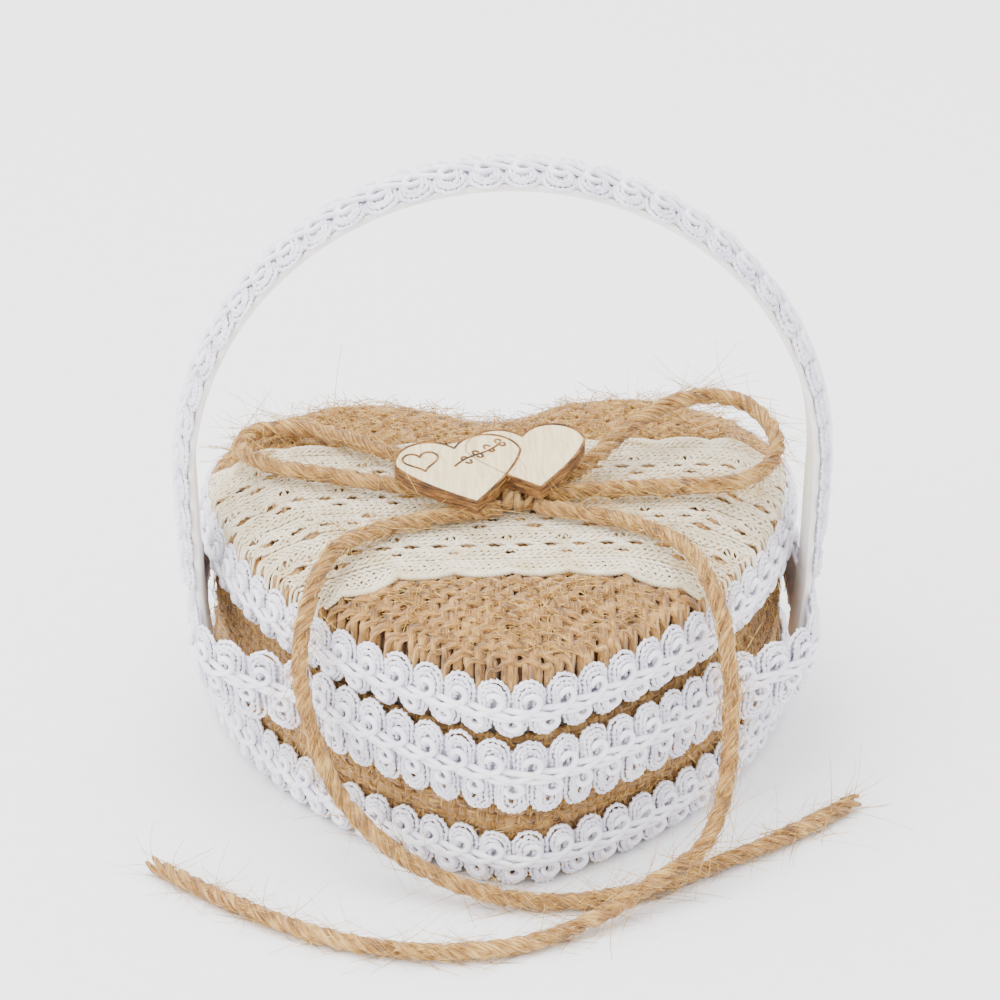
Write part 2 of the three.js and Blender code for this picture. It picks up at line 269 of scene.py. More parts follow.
# %% Jute materials
def jute_material(name, dark, middle, light, streak_per_mm):
    material, tree, shader = new_material(
        name, 0.85, Sheen_Weight=0.25, Sheen_Roughness=0.6, Specular_IOR_Level=0.25)
    thread = add_node(tree, "ShaderNodeUVMap", uv_map="thread")
    stretched = add_node(tree, "ShaderNodeMapping",
                         {"Vector": thread.outputs["UV"], "Scale": (0.35, streak_per_mm, 1)})
    streaks = add_node(tree, "ShaderNodeTexNoise",
                       {"Vector": stretched.outputs["Vector"], "Scale": 1.0, "Detail": 4.0,
                        "Roughness": 0.65})
    place = add_node(tree, "ShaderNodeTexCoord")
    patches = add_node(tree, "ShaderNodeTexNoise",
                       {"Vector": place.outputs["Object"], "Scale": 320.0, "Detail": 3.0})
    mixed = add_node(tree, "ShaderNodeMath",
                     {0: streaks.outputs["Fac"], 1: 0.7}, operation="MULTIPLY")
    spread = add_node(tree, "ShaderNodeMath",
                      {0: patches.outputs["Fac"], 1: 0.3, 2: mixed.outputs[0]},
                      operation="MULTIPLY_ADD")
    colour = blend_colours(tree, spread.outputs[0],
                           [(0.38, dark), (0.5, middle), (0.62, light)])
    tree.links.new(colour, shader.inputs["Base Color"])
    raise_bump(tree, shader, streaks.outputs["Fac"], 0.5 * MM, 1.0)
    return material


BURLAP_YARN = jute_material("burlap yarn", "#553812", "#A37433", "#D3A75E", 9)
JUTE_TWINE = jute_material("jute twine", "#5A3A12", "#AC7A33", "#E2BA6C", 14)
JUTE_FIBRE, fibre_tree, fibre_shader = new_material(
    "loose jute fibre", 0.6, Base_Color=linear("#DDBB84"), Specular_IOR_Level=0.35)
fibre_place = add_node(fibre_tree, "ShaderNodeTexCoord")
fibre_noise = add_node(fibre_tree, "ShaderNodeTexNoise",
                       {"Vector": fibre_place.outputs["Object"], "Scale": 900.0})
fibre_tree.links.new(
    blend_colours(fibre_tree, fibre_noise.outputs["Fac"],
                  [(0.35, "#855C22"), (0.5, "#C4974A"), (0.7, "#EBCB84")]),
    fibre_shader.inputs["Base Color"])

# %% [markdown]
# ## The heart's outline
# The heart is made of tangent arcs: a round point, two long sides, two lobes and a
# small cleft. Because every piece is parallel to it, one function gives the outline
# at any inset, evenly stepped by length. The CAD box of the lid's braid sets its
# overall size.

# %% Outline by arcs
lid_low, lid_high = (Vector(c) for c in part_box("lid_braid"))
LID_WIDTH = lid_high.x - lid_low.x
LOBE_SPACING = 40 * MM
TIP_RADIUS = 11.5 * MM
CLEFT_RADIUS = 4 * MM
SIDE_RADIUS = 75 * MM
LOBE_RADIUS = (LID_WIDTH - LOBE_SPACING) / 2
LOBE = np.array([LOBE_SPACING / 2, lid_high.y - LOBE_RADIUS])
TIP = np.array([0.0, lid_low.y + TIP_RADIUS])
CLEFT = np.array([0.0, LOBE[1] + math.sqrt((LOBE_RADIUS + CLEFT_RADIUS) ** 2 - LOBE[0] ** 2)])


def side_centre():
    """The centre of the long arc that touches the lobe and the tip."""
    to_tip = TIP - LOBE
    gap = np.linalg.norm(to_tip)
    reach_lobe, reach_tip = SIDE_RADIUS - LOBE_RADIUS, SIDE_RADIUS - TIP_RADIUS
    along = (reach_lobe ** 2 - reach_tip ** 2 + gap ** 2) / (2 * gap)
    across = math.sqrt(reach_lobe ** 2 - along ** 2)
    direction = to_tip / gap
    return LOBE + direction * along + np.array([direction[1], -direction[0]]) * across


SIDE = side_centre()


def angle_of(start, end):
    return math.atan2(end[1] - start[1], end[0] - start[0])


class Heart:
    """The outline at one inset. at(distance) gives places and outward normals."""

    def __init__(self, inset):
        side_angle, lobe_start = angle_of(SIDE, TIP), angle_of(SIDE, LOBE)
        lobe_end = angle_of(LOBE, CLEFT)
        arcs = [(TIP, TIP_RADIUS - inset, -math.pi / 2, side_angle, 1),
                (SIDE, SIDE_RADIUS - inset, side_angle, lobe_start, 1),
                (LOBE, LOBE_RADIUS - inset, lobe_start, lobe_end, 1),
                (CLEFT, CLEFT_RADIUS + inset, lobe_end - math.pi, -math.pi / 2, -1)]
        places, normals = [], []
        for centre, radius, start, end, facing in arcs:
            angle = np.linspace(start, end, 120)
            ray = np.stack([np.cos(angle), np.sin(angle)], -1)
            places.append(centre + ray * radius)
            normals.append(ray * facing)
        right, right_normals = np.concatenate(places), np.concatenate(normals)
        mirror = np.array([-1.0, 1.0])
        self.points = np.concatenate([right, right[::-1] * mirror])
        self.normals = np.concatenate([right_normals, right_normals[::-1] * mirror])
        steps = np.linalg.norm(np.diff(self.points, axis=0), axis=1)
        self.runs = np.concatenate([[0], np.cumsum(steps)])
        self.length = self.runs[-1]

    def at(self, distance):
        run = np.mod(distance, self.length)
        place = [np.interp(run, self.runs, self.points[:, k]) for k in (0, 1)]
        normal = [np.interp(run, self.runs, self.normals[:, k]) for k in (0, 1)]
        return np.stack(place, -1), unit(np.stack(normal, -1))


EDGE = Heart(0)


def inset_of(x, y):
    """How far inside the outline each point is, in metres; negative outside."""
    places = np.stack([np.ravel(x), np.ravel(y)], -1)
    result = np.empty(len(places))
    for first in range(0, len(places), 4000):
        part = places[first:first + 4000]
        gaps = part[:, None] - EDGE.points[None]
        nearest = np.argmin((gaps ** 2).sum(-1), axis=1)
        chosen = gaps[np.arange(len(part)), nearest]
        result[first:first + 4000] = -(chosen * EDGE.normals[nearest]).sum(-1)
    return result.reshape(np.shape(x))


print("outline length mm", round(EDGE.length / MM, 1))

# %% [markdown]
# ## Twine
# The bow is one length of jute twine, about 2.6 mm thick and laid from three plies.
# Its route was chosen in the CAD model and is repeated here. The plies wind
# round the route as three tubes whose sides are fluted, which reads as bundled
# fibre, and stray fibres are added after.

# %% Routes, in metres
LOOP_LEFT = [
    (-2.6, -1.9, 43.2), (-9, 4, 43.4), (-20, 13.5, 43.4), (-29, 20.5, 43.0),
    (-37, 21.5, 42.6), (-40, 15.5, 42.6), (-36, 9, 43.0), (-26, 4, 43.2),
    (-14, -0.5, 43.2), (-3.2, -4.1, 43.2)]
LOOP_RIGHT = [
    (5.4, -2.2, 43.3), (13, 4, 44.5), (21, 12, 47), (30, 17.5, 48.5), (37.5, 17, 48),
    (42, 10.5, 46.2), (41.5, 4, 44.4), (36, -1.5, 43.5), (25, -2.4, 43.2),
    (14, -2.6, 43.2), (6.3, -4.2, 43.2)]
TAIL_LEFT = [
    (-1.0, -7.4, 42.9), (-9, -9.5, 42.9), (-18, -13, 42.9), (-25.7, -19, 42.6),
    (-29.6, -26, 38.4), (-31.3, -31, 31.3), (-30, -35, 22), (-25.5, -40, 12.5),
    (-17, -45.5, 6), (-6, -50, 2.6), (4, -51.5, 1.5), (15, -50, 1.5),
    (26, -44.5, 1.5), (38, -37, 1.5), (52, -26, 1.5)]
TAIL_RIGHT = [
    (4.4, -7.3, 42.9), (12, -10, 42.9), (20, -14.5, 42.9), (26, -21, 42.4),
    (29.5, -28, 38), (31, -33.5, 30.4), (31, -38, 21), (29.5, -42.5, 12),
    (26, -47, 6.8), (19, -51.5, 4.4), (10, -57, 2.2), (0, -62, 1.5),
    (-12, -63.5, 1.5), (-26, -60, 1.5), (-41, -50, 1.5), (-54, -38, 1.5)]
TWINE_WIDTH = 2.6 * MM
PLY_COUNT = 3
PLY_RADIUS = 0.7 * MM
PLY_OFFSET = 0.6 * MM
TWIST_LENGTH = 9 * MM
TWINE_STEP = 0.5 * MM


def smooth_route(points, step):
    """A centripetal Catmull-Rom curve through the points, evenly stepped."""
    knots = np.asarray(points, float)
    ends = [2 * knots[0] - knots[1], 2 * knots[-1] - knots[-2]]
    knots = np.concatenate([ends[:1], knots, ends[1:]])
    pieces = []
    share = np.linspace(0, 1, 40, endpoint=False)[:, None]
    for a, b, c, d in zip(knots, knots[1:], knots[2:], knots[3:]):
        t0 = 0.0
        t1 = t0 + np.linalg.norm(b - a) ** 0.5
        t2 = t1 + np.linalg.norm(c - b) ** 0.5
        t3 = t2 + np.linalg.norm(d - c) ** 0.5
        t = t1 + share * (t2 - t1)
        ab = (t1 - t) / (t1 - t0) * a + (t - t0) / (t1 - t0) * b
        bc = (t2 - t) / (t2 - t1) * b + (t - t1) / (t2 - t1) * c
        cd = (t3 - t) / (t3 - t2) * c + (t - t2) / (t3 - t2) * d
        abc = (t2 - t) / (t2 - t0) * ab + (t - t0) / (t2 - t0) * bc
        bcd = (t3 - t) / (t3 - t1) * bc + (t - t1) / (t3 - t1) * cd
        pieces.append((t2 - t) / (t2 - t1) * abc + (t - t1) / (t2 - t1) * bcd)
    line = np.concatenate(pieces + [knots[-2:-1]])
    runs = run_along(line)
    return evenly(line, runs, max(4, int(round(runs[-1] / step)) + 1))


def carried_normals(line):
    """A normal at each point that turns as little as it can along the line."""
    tangent = unit(np.gradient(line, axis=0))
    normal = unit(np.cross(tangent[0], (0.3, 0.2, 0.9)))
    result = []
    for direction in tangent:
        normal = unit(normal - direction * np.dot(normal, direction))
        result.append(normal)
    return np.array(result), tangent


def wander(rng, count, spacing, knots_every, size):
    """Smooth random values along a thread, one for each point."""
    knots = max(3, int(count * spacing / knots_every) + 2)
    values = rng.normal(0, size, knots)
    place = np.linspace(0, knots - 1, count)
    smooth = (1 - np.cos(math.pi * (place % 1))) / 2
    low = np.minimum(place.astype(int), knots - 2)
    return values[low] * (1 - smooth) + values[low + 1] * smooth


def twisted_plies(line, rng, width=TWINE_WIDTH, frayed_end=False):
    """Three fluted plies wound round a line."""
    scale = width / TWINE_WIDTH
    normal, tangent = carried_normals(line)
    side = np.cross(tangent, normal)
    spacing = np.linalg.norm(line[1] - line[0])
    run = np.arange(len(line)) * spacing
    thickness = 1 + wander(rng, len(line), spacing, 5 * MM, 0.05)
    taper = np.clip((run[-1] - run) / (6 * MM), 0, 1) ** 0.5 if frayed_end else 1.0
    turn = np.arange(12) * TAU / 12
    parts = []
    for ply in range(PLY_COUNT):
        angle = TAU * (run / TWIST_LENGTH + ply / PLY_COUNT)
        angle = angle + wander(rng, len(line), spacing, 6 * MM, 0.25)
        spread = PLY_OFFSET * scale * (1 + (0.5 * (1 - taper) if frayed_end else 0))
        offset = normal * np.cos(angle)[:, None] + side * np.sin(angle)[:, None]
        path = line + offset * np.broadcast_to(spread, run.shape)[:, None]
        flutes = 1 + 0.13 * np.cos(5 * turn + 3 * angle[:, None] + ply)
        flutes = flutes + rng.normal(0, 0.04, flutes.shape)
        radii = PLY_RADIUS * scale * (thickness * (0.35 + 0.65 * taper))[:, None] * flutes
        parts.append(tubes(path[None], offset[None], radii[None], sides=12))
    return joined(parts)


def stray_fibres(rng, line, count, width, longest, lift):
    """Curved hairs that leave the surface of a cord and lie loosely along it."""
    normal, tangent = carried_normals(line)
    side = np.cross(tangent, normal)
    pick = rng.integers(1, len(line) - 1, count)
    angle = rng.uniform(0, TAU, count)
    out = normal[pick] * np.cos(angle)[:, None] + side[pick] * np.sin(angle)[:, None]
    around = np.cross(tangent[pick], out)
    heading = tangent[pick] * rng.choice([-1, 1], count)[:, None]
    heading = unit(heading + around * rng.normal(0, 0.6, count)[:, None])
    reach = rng.uniform(0.25, 1, count) * longest
    rise = rng.exponential(lift, count)
    curl = rng.normal(0, 0.35, count)
    share = np.linspace(0, 1, 7)[None, :, None]
    start = line[pick] + out * (0.42 * width)
    paths = (start[:, None] + heading[:, None] * reach[:, None, None] * share
             + out[:, None] * rise[:, None, None] * share ** 1.5
             + around[:, None] * (curl * reach)[:, None, None] * share ** 2)
    paths[..., 2] = np.maximum(paths[..., 2], 0.1 * MM)
    thin = rng.uniform(0.03, 0.08, count) * MM
    radii = thin[:, None] * np.linspace(1, 0.4, 7)[None]
    facing = np.broadcast_to(out[:, None], paths.shape)
    return tubes(paths, facing, radii, sides=3)


# %% [markdown]
# ### The four lengths
# Two tails and two loops leave the knot. Each is made along the route it was
# laid on, and its stray fibres go with it.

# %% Lay the four lengths of twine
rng = np.random.default_rng(11)
CORDS = [("twine_tail_left", TAIL_LEFT, "bare", "loose"),
         ("twine_tail_right", TAIL_RIGHT, "bare", "loose"),
         ("bow_loop_left", LOOP_LEFT, "object", "loose"),
         ("bow_loop_right", LOOP_RIGHT, "object", "loose")]
FIBRES_PER_MM = 5
for node, route, far_end, lay in CORDS:
    line = smooth_route(np.array(route) * MM, TWINE_STEP)
    length = np.linalg.norm(np.diff(line, axis=0), axis=1).sum()
    cord = object_from("jute_" + node, *twisted_plies(line, rng, frayed_end=far_end == "bare"))
    fit(cord, JUTE_TWINE, "lid", "twine", node)
    hairs = object_from("fibres_" + node, *stray_fibres(
        rng, line, int(length / MM * FIBRES_PER_MM), TWINE_WIDTH, 10.5 * MM, 0.75 * MM))
    fit(hairs, JUTE_FIBRE, "lid", "twine")
    print(node, "is", round(length / MM), "mm long")

# %% [markdown]
# ## Rings, strips and slabs that follow the heart
# The card wall, the neck and the backing of each braid are all one cross-section
# carried round the outline. The section is given as inset and height, so the same
# few numbers as in the CAD model make each of them.

# %% Sweep a section round the heart
def stations(step):
    """How many steps go round the outline, and the places and normals at them."""
    count = int(EDGE.length / step)
    return (count, *EDGE.at(np.arange(count) * EDGE.length / count))


def stacked_rings(levels, count):
    """The indices and the quads of rings of points laid one on another."""
    index = np.arange(count * levels).reshape(levels, count)
    after = np.roll(index, -1, 1)
    quads = np.stack([index[:-1], after[:-1], after[1:], index[1:]], -1)
    return index, quads.reshape(-1, 4)


def swept_ring(section, step=1.2 * MM, wave=0.0):
    """A closed section of (inset, height) points carried round the outline."""
    count, place, normal = stations(step)
    section = np.asarray(section, float)
    turn = np.arange(count) * TAU / count
    ripple = wave * (np.sin(5 * turn) + 0.6 * np.sin(11 * turn + 1))
    flat = place[:, None] - normal[:, None] * (section[None, :, 0, None] + ripple[:, None, None])
    height = np.broadcast_to(section[None, :, 1, None], (*flat.shape[:2], 1))
    points = np.concatenate([flat, height], -1)
    index = np.arange(count * len(section)).reshape(count, len(section))
    after = np.roll(index, -1, 0)
    quads = np.stack([index, np.roll(index, -1, 1), np.roll(after, -1, 1), after], -1)
    uv = np.zeros((quads.size // 4, 4, 2))
    return points.reshape(-1, 3), quads.reshape(-1, 4), (), uv


def rounded_section(outer, inner, bottom, top, radius=0.3 * MM, steps=4):
    """A rectangle of inset and height with its corners rounded, anticlockwise."""
    corners = [(outer + radius, top - radius, 90), (outer + radius, bottom + radius, 180),
               (inner - radius, bottom + radius, 270), (inner - radius, top - radius, 0)]
    section = []
    for inset, height, start in corners:
        for angle in np.radians(np.linspace(start, start + 90, steps)):
            section.append((inset + radius * math.cos(angle), height + radius * math.sin(angle)))
    return section


def heart_slab(inset, bottom, top, radius=0.3 * MM, step=1.2 * MM):
    """A heart-shaped plate with rounded rims."""
    angles = np.radians(np.linspace(0, 90, 4))
    low = [(inset + radius * (1 - math.sin(a)), bottom + radius * (1 - math.cos(a)))
           for a in angles]
    high = [(d, top + bottom - z) for d, z in reversed(low)]
    levels = low + high
    count, place, normal = stations(step)
    points = np.concatenate([
        np.column_stack([place - normal * d, np.full(count, z)]) for d, z in levels])
    index, quads = stacked_rings(len(levels), count)
    return points, quads, [index[0][::-1], index[-1]], np.zeros((len(quads), 4, 2))


# %% [markdown]
# ## The braid's pattern
# Gimp braid is machine made. Fine crimped threads stand in tongues on both sides of
# a centre line, half a step apart, and one satin cord to each tongue comes along the
# centre line and curls over its core. One pattern is made flat, as along, across and
# outwards, and is then laid round the lid, twice round the box and over the handle.

# %% Braid as flat patterns
SCALLOP = 4.7 * MM
CRIMP_THREADS = 4
CRIMP_SPACING = 0.5 * MM
CRIMP_STEP = 0.38 * MM
CRIMP_THICK = 0.41 * MM
CRIMP_THIN = 0.22 * MM
CRIMP_RISE = (0.5, 1.0, 1.15, 0.85)
CORD_RADIUS = 0.47 * MM


def arch(half, reach, step):
    """An upside-down U from the centre line out to reach, as (along, across)."""
    turn = np.linspace(math.pi, 0, 24)
    top = np.column_stack([half * np.cos(turn), reach - half + half * np.sin(turn)])
    line = np.concatenate([[[-half * 0.86, -0.4 * MM]], top, [[half * 0.86, -0.4 * MM]]])
    runs = run_along(line)
    return evenly(line, runs, int(runs[-1] / step) | 1)


def vine(reach, step):
    """One satin cord: in along the centre line, then a curl over the tongue's core."""
    size = min(reach, 5 * MM) / (5 * MM)
    rise = np.array([
        (-8.4, 0.2, 0.6), (-6.4, -0.5, 0.8), (-4.3, -0.75, 1.4), (-2.2, -0.45, 1.75),
        (-0.3, 0.25, 1.8), (1.1, 1.2, 1.7), (1.3, 2.2, 1.6), (0.55, 2.9, 1.5),
        (-0.4, 2.7, 1.45), (-0.65, 2.0, 1.25), (-0.15, 1.65, 0.7)]) * MM
    rise[:, 1] *= size
    return smooth_route(rise, step)


def place_pattern(lay, centres, flat, side, rng, shake=0.12 * MM):
    """Copy one flat path to every centre and lay it on the braid's own surface."""
    count = len(centres)
    shift = rng.normal(0, shake, (count, 1, 3)) * np.array([1, 0.8, 0.4])
    strip = np.repeat(flat[None], count, 0) + shift
    strip[..., 0] += centres[:, None]
    strip[..., 1] *= side
    return lay(strip[..., 0], strip[..., 1], strip[..., 2])


def braid_threads(lay, length, reach_up, reach_down, rng, pitch=SCALLOP, closed=True):
    """The crimped tongues of both rows, and the satin cords over them."""
    count = int(round(length / pitch))
    pitch = length / count
    crimped, satin = [], []
    for side, reach, offset in ((1, reach_up, 0.25), (-1, reach_down, 0.75)):
        keep = count if closed else count - 1
        centres = (np.arange(keep) + (offset if closed else offset + 0.25)) * pitch
        outer = 0.49 * pitch - 0.3 * MM
        for ring in range(CRIMP_THREADS):
            half = outer - ring * CRIMP_SPACING
            flat = arch(half, reach - 0.3 * MM - ring * CRIMP_SPACING, CRIMP_STEP)
            rise = CRIMP_RISE[ring] * (1 - 0.35 * (flat[:, 1] / reach) ** 4) * MM
            flat = np.column_stack([flat, rise])
            beads = np.where(np.arange(len(flat)) % 2 == 0, CRIMP_THICK, CRIMP_THIN)
            places, facing = place_pattern(lay, centres, flat, side, rng, 0.07 * MM)
            wobble = rng.normal(0, 0.07 * MM, places.shape)
            crimped.append(tubes(places + wobble, facing,
                                 np.broadcast_to(beads, places.shape[:2]), sides=5))
        flat = vine(reach, 0.42 * MM)
        share = np.linspace(0, 1, len(flat))
        radii = CORD_RADIUS * np.minimum(1, 0.6 + 4 * (1 - share)) * np.minimum(1, 0.5 + 6 * share)
        if not closed:
            centres = centres[centres > 8.6 * MM]
        places, facing = place_pattern(lay, centres, flat, side, rng, 0.1 * MM)
        satin.append(tubes(places, facing, np.broadcast_to(radii, places.shape[:2]), sides=8))
    return joined(crimped), joined(satin)


# %% [markdown]
# ### Gimp materials
# The gimp is white rayon and cotton. The crimped threads are matt with deep pits, and
# the cords are satin: smooth, with a soft highlight and fine lengthwise fibres. A
# little light passes through white thread. The lavender grey of the threads' hollows
# is painted shade in their colour, laid where the fibre bump is low and mixed with
# random cloudy tone, and the backing behind them is painted grey as shade.

# %% Gimp materials
def thread_material(name, hollow_shade_and_tone, raised, roughness, fibres_per_mm, depth, **sockets):
    material, tree, shader = new_material(
        name, roughness, Subsurface_Weight=0.15, Subsurface_Radius=(0.6, 0.6, 0.8),
        Subsurface_Scale=1.0 * MM, **sockets)
    thread = add_node(tree, "ShaderNodeUVMap", uv_map="thread")
    stretched = add_node(tree, "ShaderNodeMapping",
                         {"Vector": thread.outputs["UV"], "Scale": (0.8, fibres_per_mm, 1)})
    fibres = add_node(tree, "ShaderNodeTexNoise",
                      {"Vector": stretched.outputs["Vector"], "Scale": 1.0, "Detail": 3.0})
    place = add_node(tree, "ShaderNodeTexCoord")
    cloud = add_node(tree, "ShaderNodeTexNoise",
                     {"Vector": place.outputs["Object"], "Scale": 260.0, "Detail": 2.0})
    both = add_node(tree, "ShaderNodeMath",
                    {0: fibres.outputs["Fac"], 1: cloud.outputs["Fac"]}, operation="ADD")
    half = add_node(tree, "ShaderNodeMath", {0: both.outputs[0], 1: 0.5}, operation="MULTIPLY")
    # The darker colour is painted shade: it goes where the fibre bump is low, mixed with random
    # cloudy tone.
    tree.links.new(blend_colours(tree, half.outputs[0], [(0.35, hollow_shade_and_tone), (0.6, raised)]),
                   shader.inputs["Base Color"])
    raise_bump(tree, shader, fibres.outputs["Fac"], depth, 0.7)
    return material


# The darker of each pair of colours is painted shade in the threads' hollows, mixed with random
# tone.
GIMP_CRIMP = thread_material("crimped white gimp thread", "#D6D2E2", "#F4F2F9", 0.6, 10,
                             0.1 * MM, Sheen_Weight=0.2)
GIMP_SATIN = thread_material("white satin gimp cord", "#E2DFEC", "#F8F7FC", 0.34, 14,
                             0.04 * MM, Sheen_Weight=0.15, Anisotropic=0.4)
# The backing is a sheet painted lavender grey as the shade seen between the tongues.
GIMP_BACKING_SHADE, back_tree, back_shader = new_material(
    "gimp backing painted grey as shade", 0.8, Base_Color=linear("#DAD7E2"))
back_place = add_node(back_tree, "ShaderNodeTexCoord")
back_weave = add_node(back_tree, "ShaderNodeTexNoise",
                      {"Vector": back_place.outputs["Object"], "Scale": 1500.0})
raise_bump(back_tree, back_shader, back_weave.outputs["Fac"], 0.2 * MM)

# %% [markdown]
# ### Three braids round the heart
# The lid has one braid and the box has two. The box's upper braid hides the feet of
# the handle, so it stands off where it crosses them. The lid's is pressed in there.

# %% Lay the three braids round the heart
LEG_FOOT = 44.4 * MM
LEG_FOOT_HEIGHT = 12 * MM
LEG_LEAN = 0.0955
OVER_LEG_REACH = 24 * MM
OVER_LEG_SLOPE = 19 * MM
OVER_LEG_ROOM = 1.25 * MM
INSIDE_LEG_REACH = 12 * MM
INSIDE_LEG_SLOPE = 6 * MM
INSIDE_LEG_ROOM = 0.9 * MM


def shade_backing_sheet(lay, length, low, high, rows=9):
    """A sheet behind the threads, as two skins laid on the same surface, painted grey as the shade
    between them.
    """
    count = int(length / (1.2 * MM))
    along = np.arange(count)[:, None] * length / count
    rise = np.linspace(low, high, rows)
    across = np.concatenate([rise, rise[::-1]])[None]
    depth = np.concatenate([np.full(rows, 0.15), np.full(rows, -0.3)])[None] * MM
    points, _ = lay(*np.broadcast_arrays(along, across, depth))
    index = np.arange(count * 2 * rows).reshape(count, 2 * rows)
    after = np.roll(index, -1, 0)
    quads = np.stack([index, after, np.roll(after, -1, 1), np.roll(index, -1, 1)], -1)
    return points.reshape(-1, 3), quads.reshape(-1, 4)


def laid_on_heart(base_inset, middle, tilt=0.0, nod=0.0, legs=""):
    """A surface for the braid: base is its glued face, middle its centre line, and
    tilt and nod are how its height changes to the right and to the back. The braid
    either stands off over the legs of the handle or is pressed in inside them."""
    def lay(along, across, outwards):
        place, normal = EDGE.at(along)
        height = middle + across + tilt * place[..., 0] + nod * place[..., 1]
        inset = base_inset - outwards
        leg_face = LEG_FOOT + LEG_LEAN * (height - LEG_FOOT_HEIGHT)
        beside = np.abs(place[..., 1])
        if legs == "over":
            base = np.abs(place[..., 0] - normal[..., 0] * base_inset)
            near = np.clip((OVER_LEG_REACH - beside) / OVER_LEG_SLOPE, 0, 1)
            near = near * near * (3 - 2 * near) * (base > 30 * MM)
            inset = inset - np.maximum(leg_face + OVER_LEG_ROOM - base, 0) * near
        if legs == "inside":
            surface = np.abs(place[..., 0] - normal[..., 0] * inset)
            near = np.clip((INSIDE_LEG_REACH - beside) / INSIDE_LEG_SLOPE, 0, 1)
            inset = inset + np.maximum(surface - leg_face + INSIDE_LEG_ROOM, 0) * near
        flat = place - normal * inset[..., None]
        points = np.concatenate([flat, height[..., None]], -1)
        facing = np.concatenate([normal, np.zeros((*normal.shape[:-1], 1))], -1)
        return points, facing
    return lay


BRAIDS = [
    dict(node="lid_braid", body="lid", base=0.8 * MM, middle=29.9 * MM, up=5.2 * MM,
         down=4.2 * MM, tilt=0.008, nod=0.02, pitch=5.3 * MM, legs="inside"),
    dict(node="body_upper_braid", body="box", base=-0.35 * MM, middle=20.8 * MM, up=5.6 * MM,
         down=6.7 * MM, tilt=-0.022, nod=0.034, pitch=4.95 * MM, legs="over"),
    dict(node="body_lower_braid", body="box", base=0.5 * MM, middle=4.5 * MM, up=4.6 * MM,
         down=4.4 * MM, pitch=4.95 * MM)]
rng = np.random.default_rng(5)
for braid in BRAIDS:
    lay = laid_on_heart(braid["base"], braid["middle"], braid.get("tilt", 0),
                        braid.get("nod", 0), braid.get("legs", ""))
    crimped, satin = braid_threads(lay, EDGE.length, braid["up"], braid["down"], rng,
                                   pitch=braid["pitch"])
    name = braid["node"]
    tongues = object_from(name + "_tongues", *crimped)
    fit(tongues, GIMP_CRIMP, braid["body"], "braid", name)
    fit(object_from(name + "_cords", *satin), GIMP_SATIN, braid["body"], "braid")
    # Its backing is painted grey as the shade between the tongues.
    backing = object_from(name + "_backing", *shade_backing_sheet(
        lay, EDGE.length, 2.2 * MM - braid["down"], braid["up"] - 2.0 * MM))
    fit(backing, GIMP_BACKING_SHADE, braid["body"], "braid")

# %% [markdown]
# ## The handle
# The handle is a springy plastic strip bent into an arch. Its legs go down behind
# the upper braid, outside the burlap. The same gimp is glued along its outer face.
# One function gives a place and an outward direction for any distance along it.

# %% The handle's line
band_low, band_high = (Vector(c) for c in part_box("handle_band"))
ARCH_CENTRE = 46.2 * MM
BAND_OUTER = band_high.x
BAND_THICKNESS = 1.0 * MM
BAND_WIDTH = band_high.y - band_low.y
FOOT = (44.4 * MM, band_low.z)
RIM_PLACE = (45.9 * MM, 27.7 * MM)


def handle_outline():
    """The inner face of the strip from the right foot over to the left."""
    radius = BAND_OUTER - BAND_THICKNESS
    turn = np.linspace(0, math.pi / 2, 160)
    right = np.concatenate([[FOOT, RIM_PLACE],
                            np.column_stack([radius * np.cos(turn),
                                             ARCH_CENTRE + radius * np.sin(turn)])])
    return np.concatenate([right, right[-2::-1] * np.array([-1.0, 1.0])])


HANDLE = handle_outline()
HANDLE_RUN = run_along(HANDLE)
HANDLE_LENGTH = HANDLE_RUN[-1]


def along_handle(distance, offset):
    """Places at a distance from the right foot, moved outwards by offset."""
    near = [np.interp(distance - 1.5 * MM, HANDLE_RUN, HANDLE[:, k]) for k in (0, 1)]
    far = [np.interp(distance + 1.5 * MM, HANDLE_RUN, HANDLE[:, k]) for k in (0, 1)]
    here = np.stack([np.interp(distance, HANDLE_RUN, HANDLE[:, k]) for k in (0, 1)], -1)
    tangent = unit(np.stack([far[0] - near[0], far[1] - near[1]], -1))
    outward = np.stack([tangent[..., 1], -tangent[..., 0]], -1)
    return here + outward * np.asarray(offset)[..., None], outward


def laid_on_handle(start):
    def lay(along, across, outwards):
        place, outward = along_handle(along + start, outwards)
        points = np.stack([place[..., 0], across, place[..., 1]], -1)
        facing = np.stack([outward[..., 0], np.zeros_like(across), outward[..., 1]], -1)
        return points, facing
    return lay


def handle_strip(inner, outer, half_width, start, end, radius=0.3 * MM, step=1.0 * MM):
    """A flat strip with rounded edges along the handle's line."""
    section = rounded_section(inner, outer, -half_width, half_width, radius)
    section = np.array(section)
    distance = np.linspace(start, end, int((end - start) / step))
    rows = []
    for offset, across in section:
        place, _ = along_handle(distance, np.full(len(distance), offset))
        rows.append(np.stack([place[:, 0], np.full(len(distance), across), place[:, 1]], -1))
    points = np.stack(rows, 1)
    index = np.arange(points.shape[0] * points.shape[1]).reshape(points.shape[:2])
    here, after = index[:-1], index[1:]
    quads = np.stack([here, np.roll(here, -1, 1), np.roll(after, -1, 1), after], -1)
    uv = np.zeros((quads.size // 4, 4, 2))
    return points.reshape(-1, 3), quads.reshape(-1, 4), [index[0][::-1], index[-1]], uv


# %% [markdown]
# ### The strip and its braid
# The strip is smooth and a little cloudy. The braid on it stops where it meets the
# braid of the box.

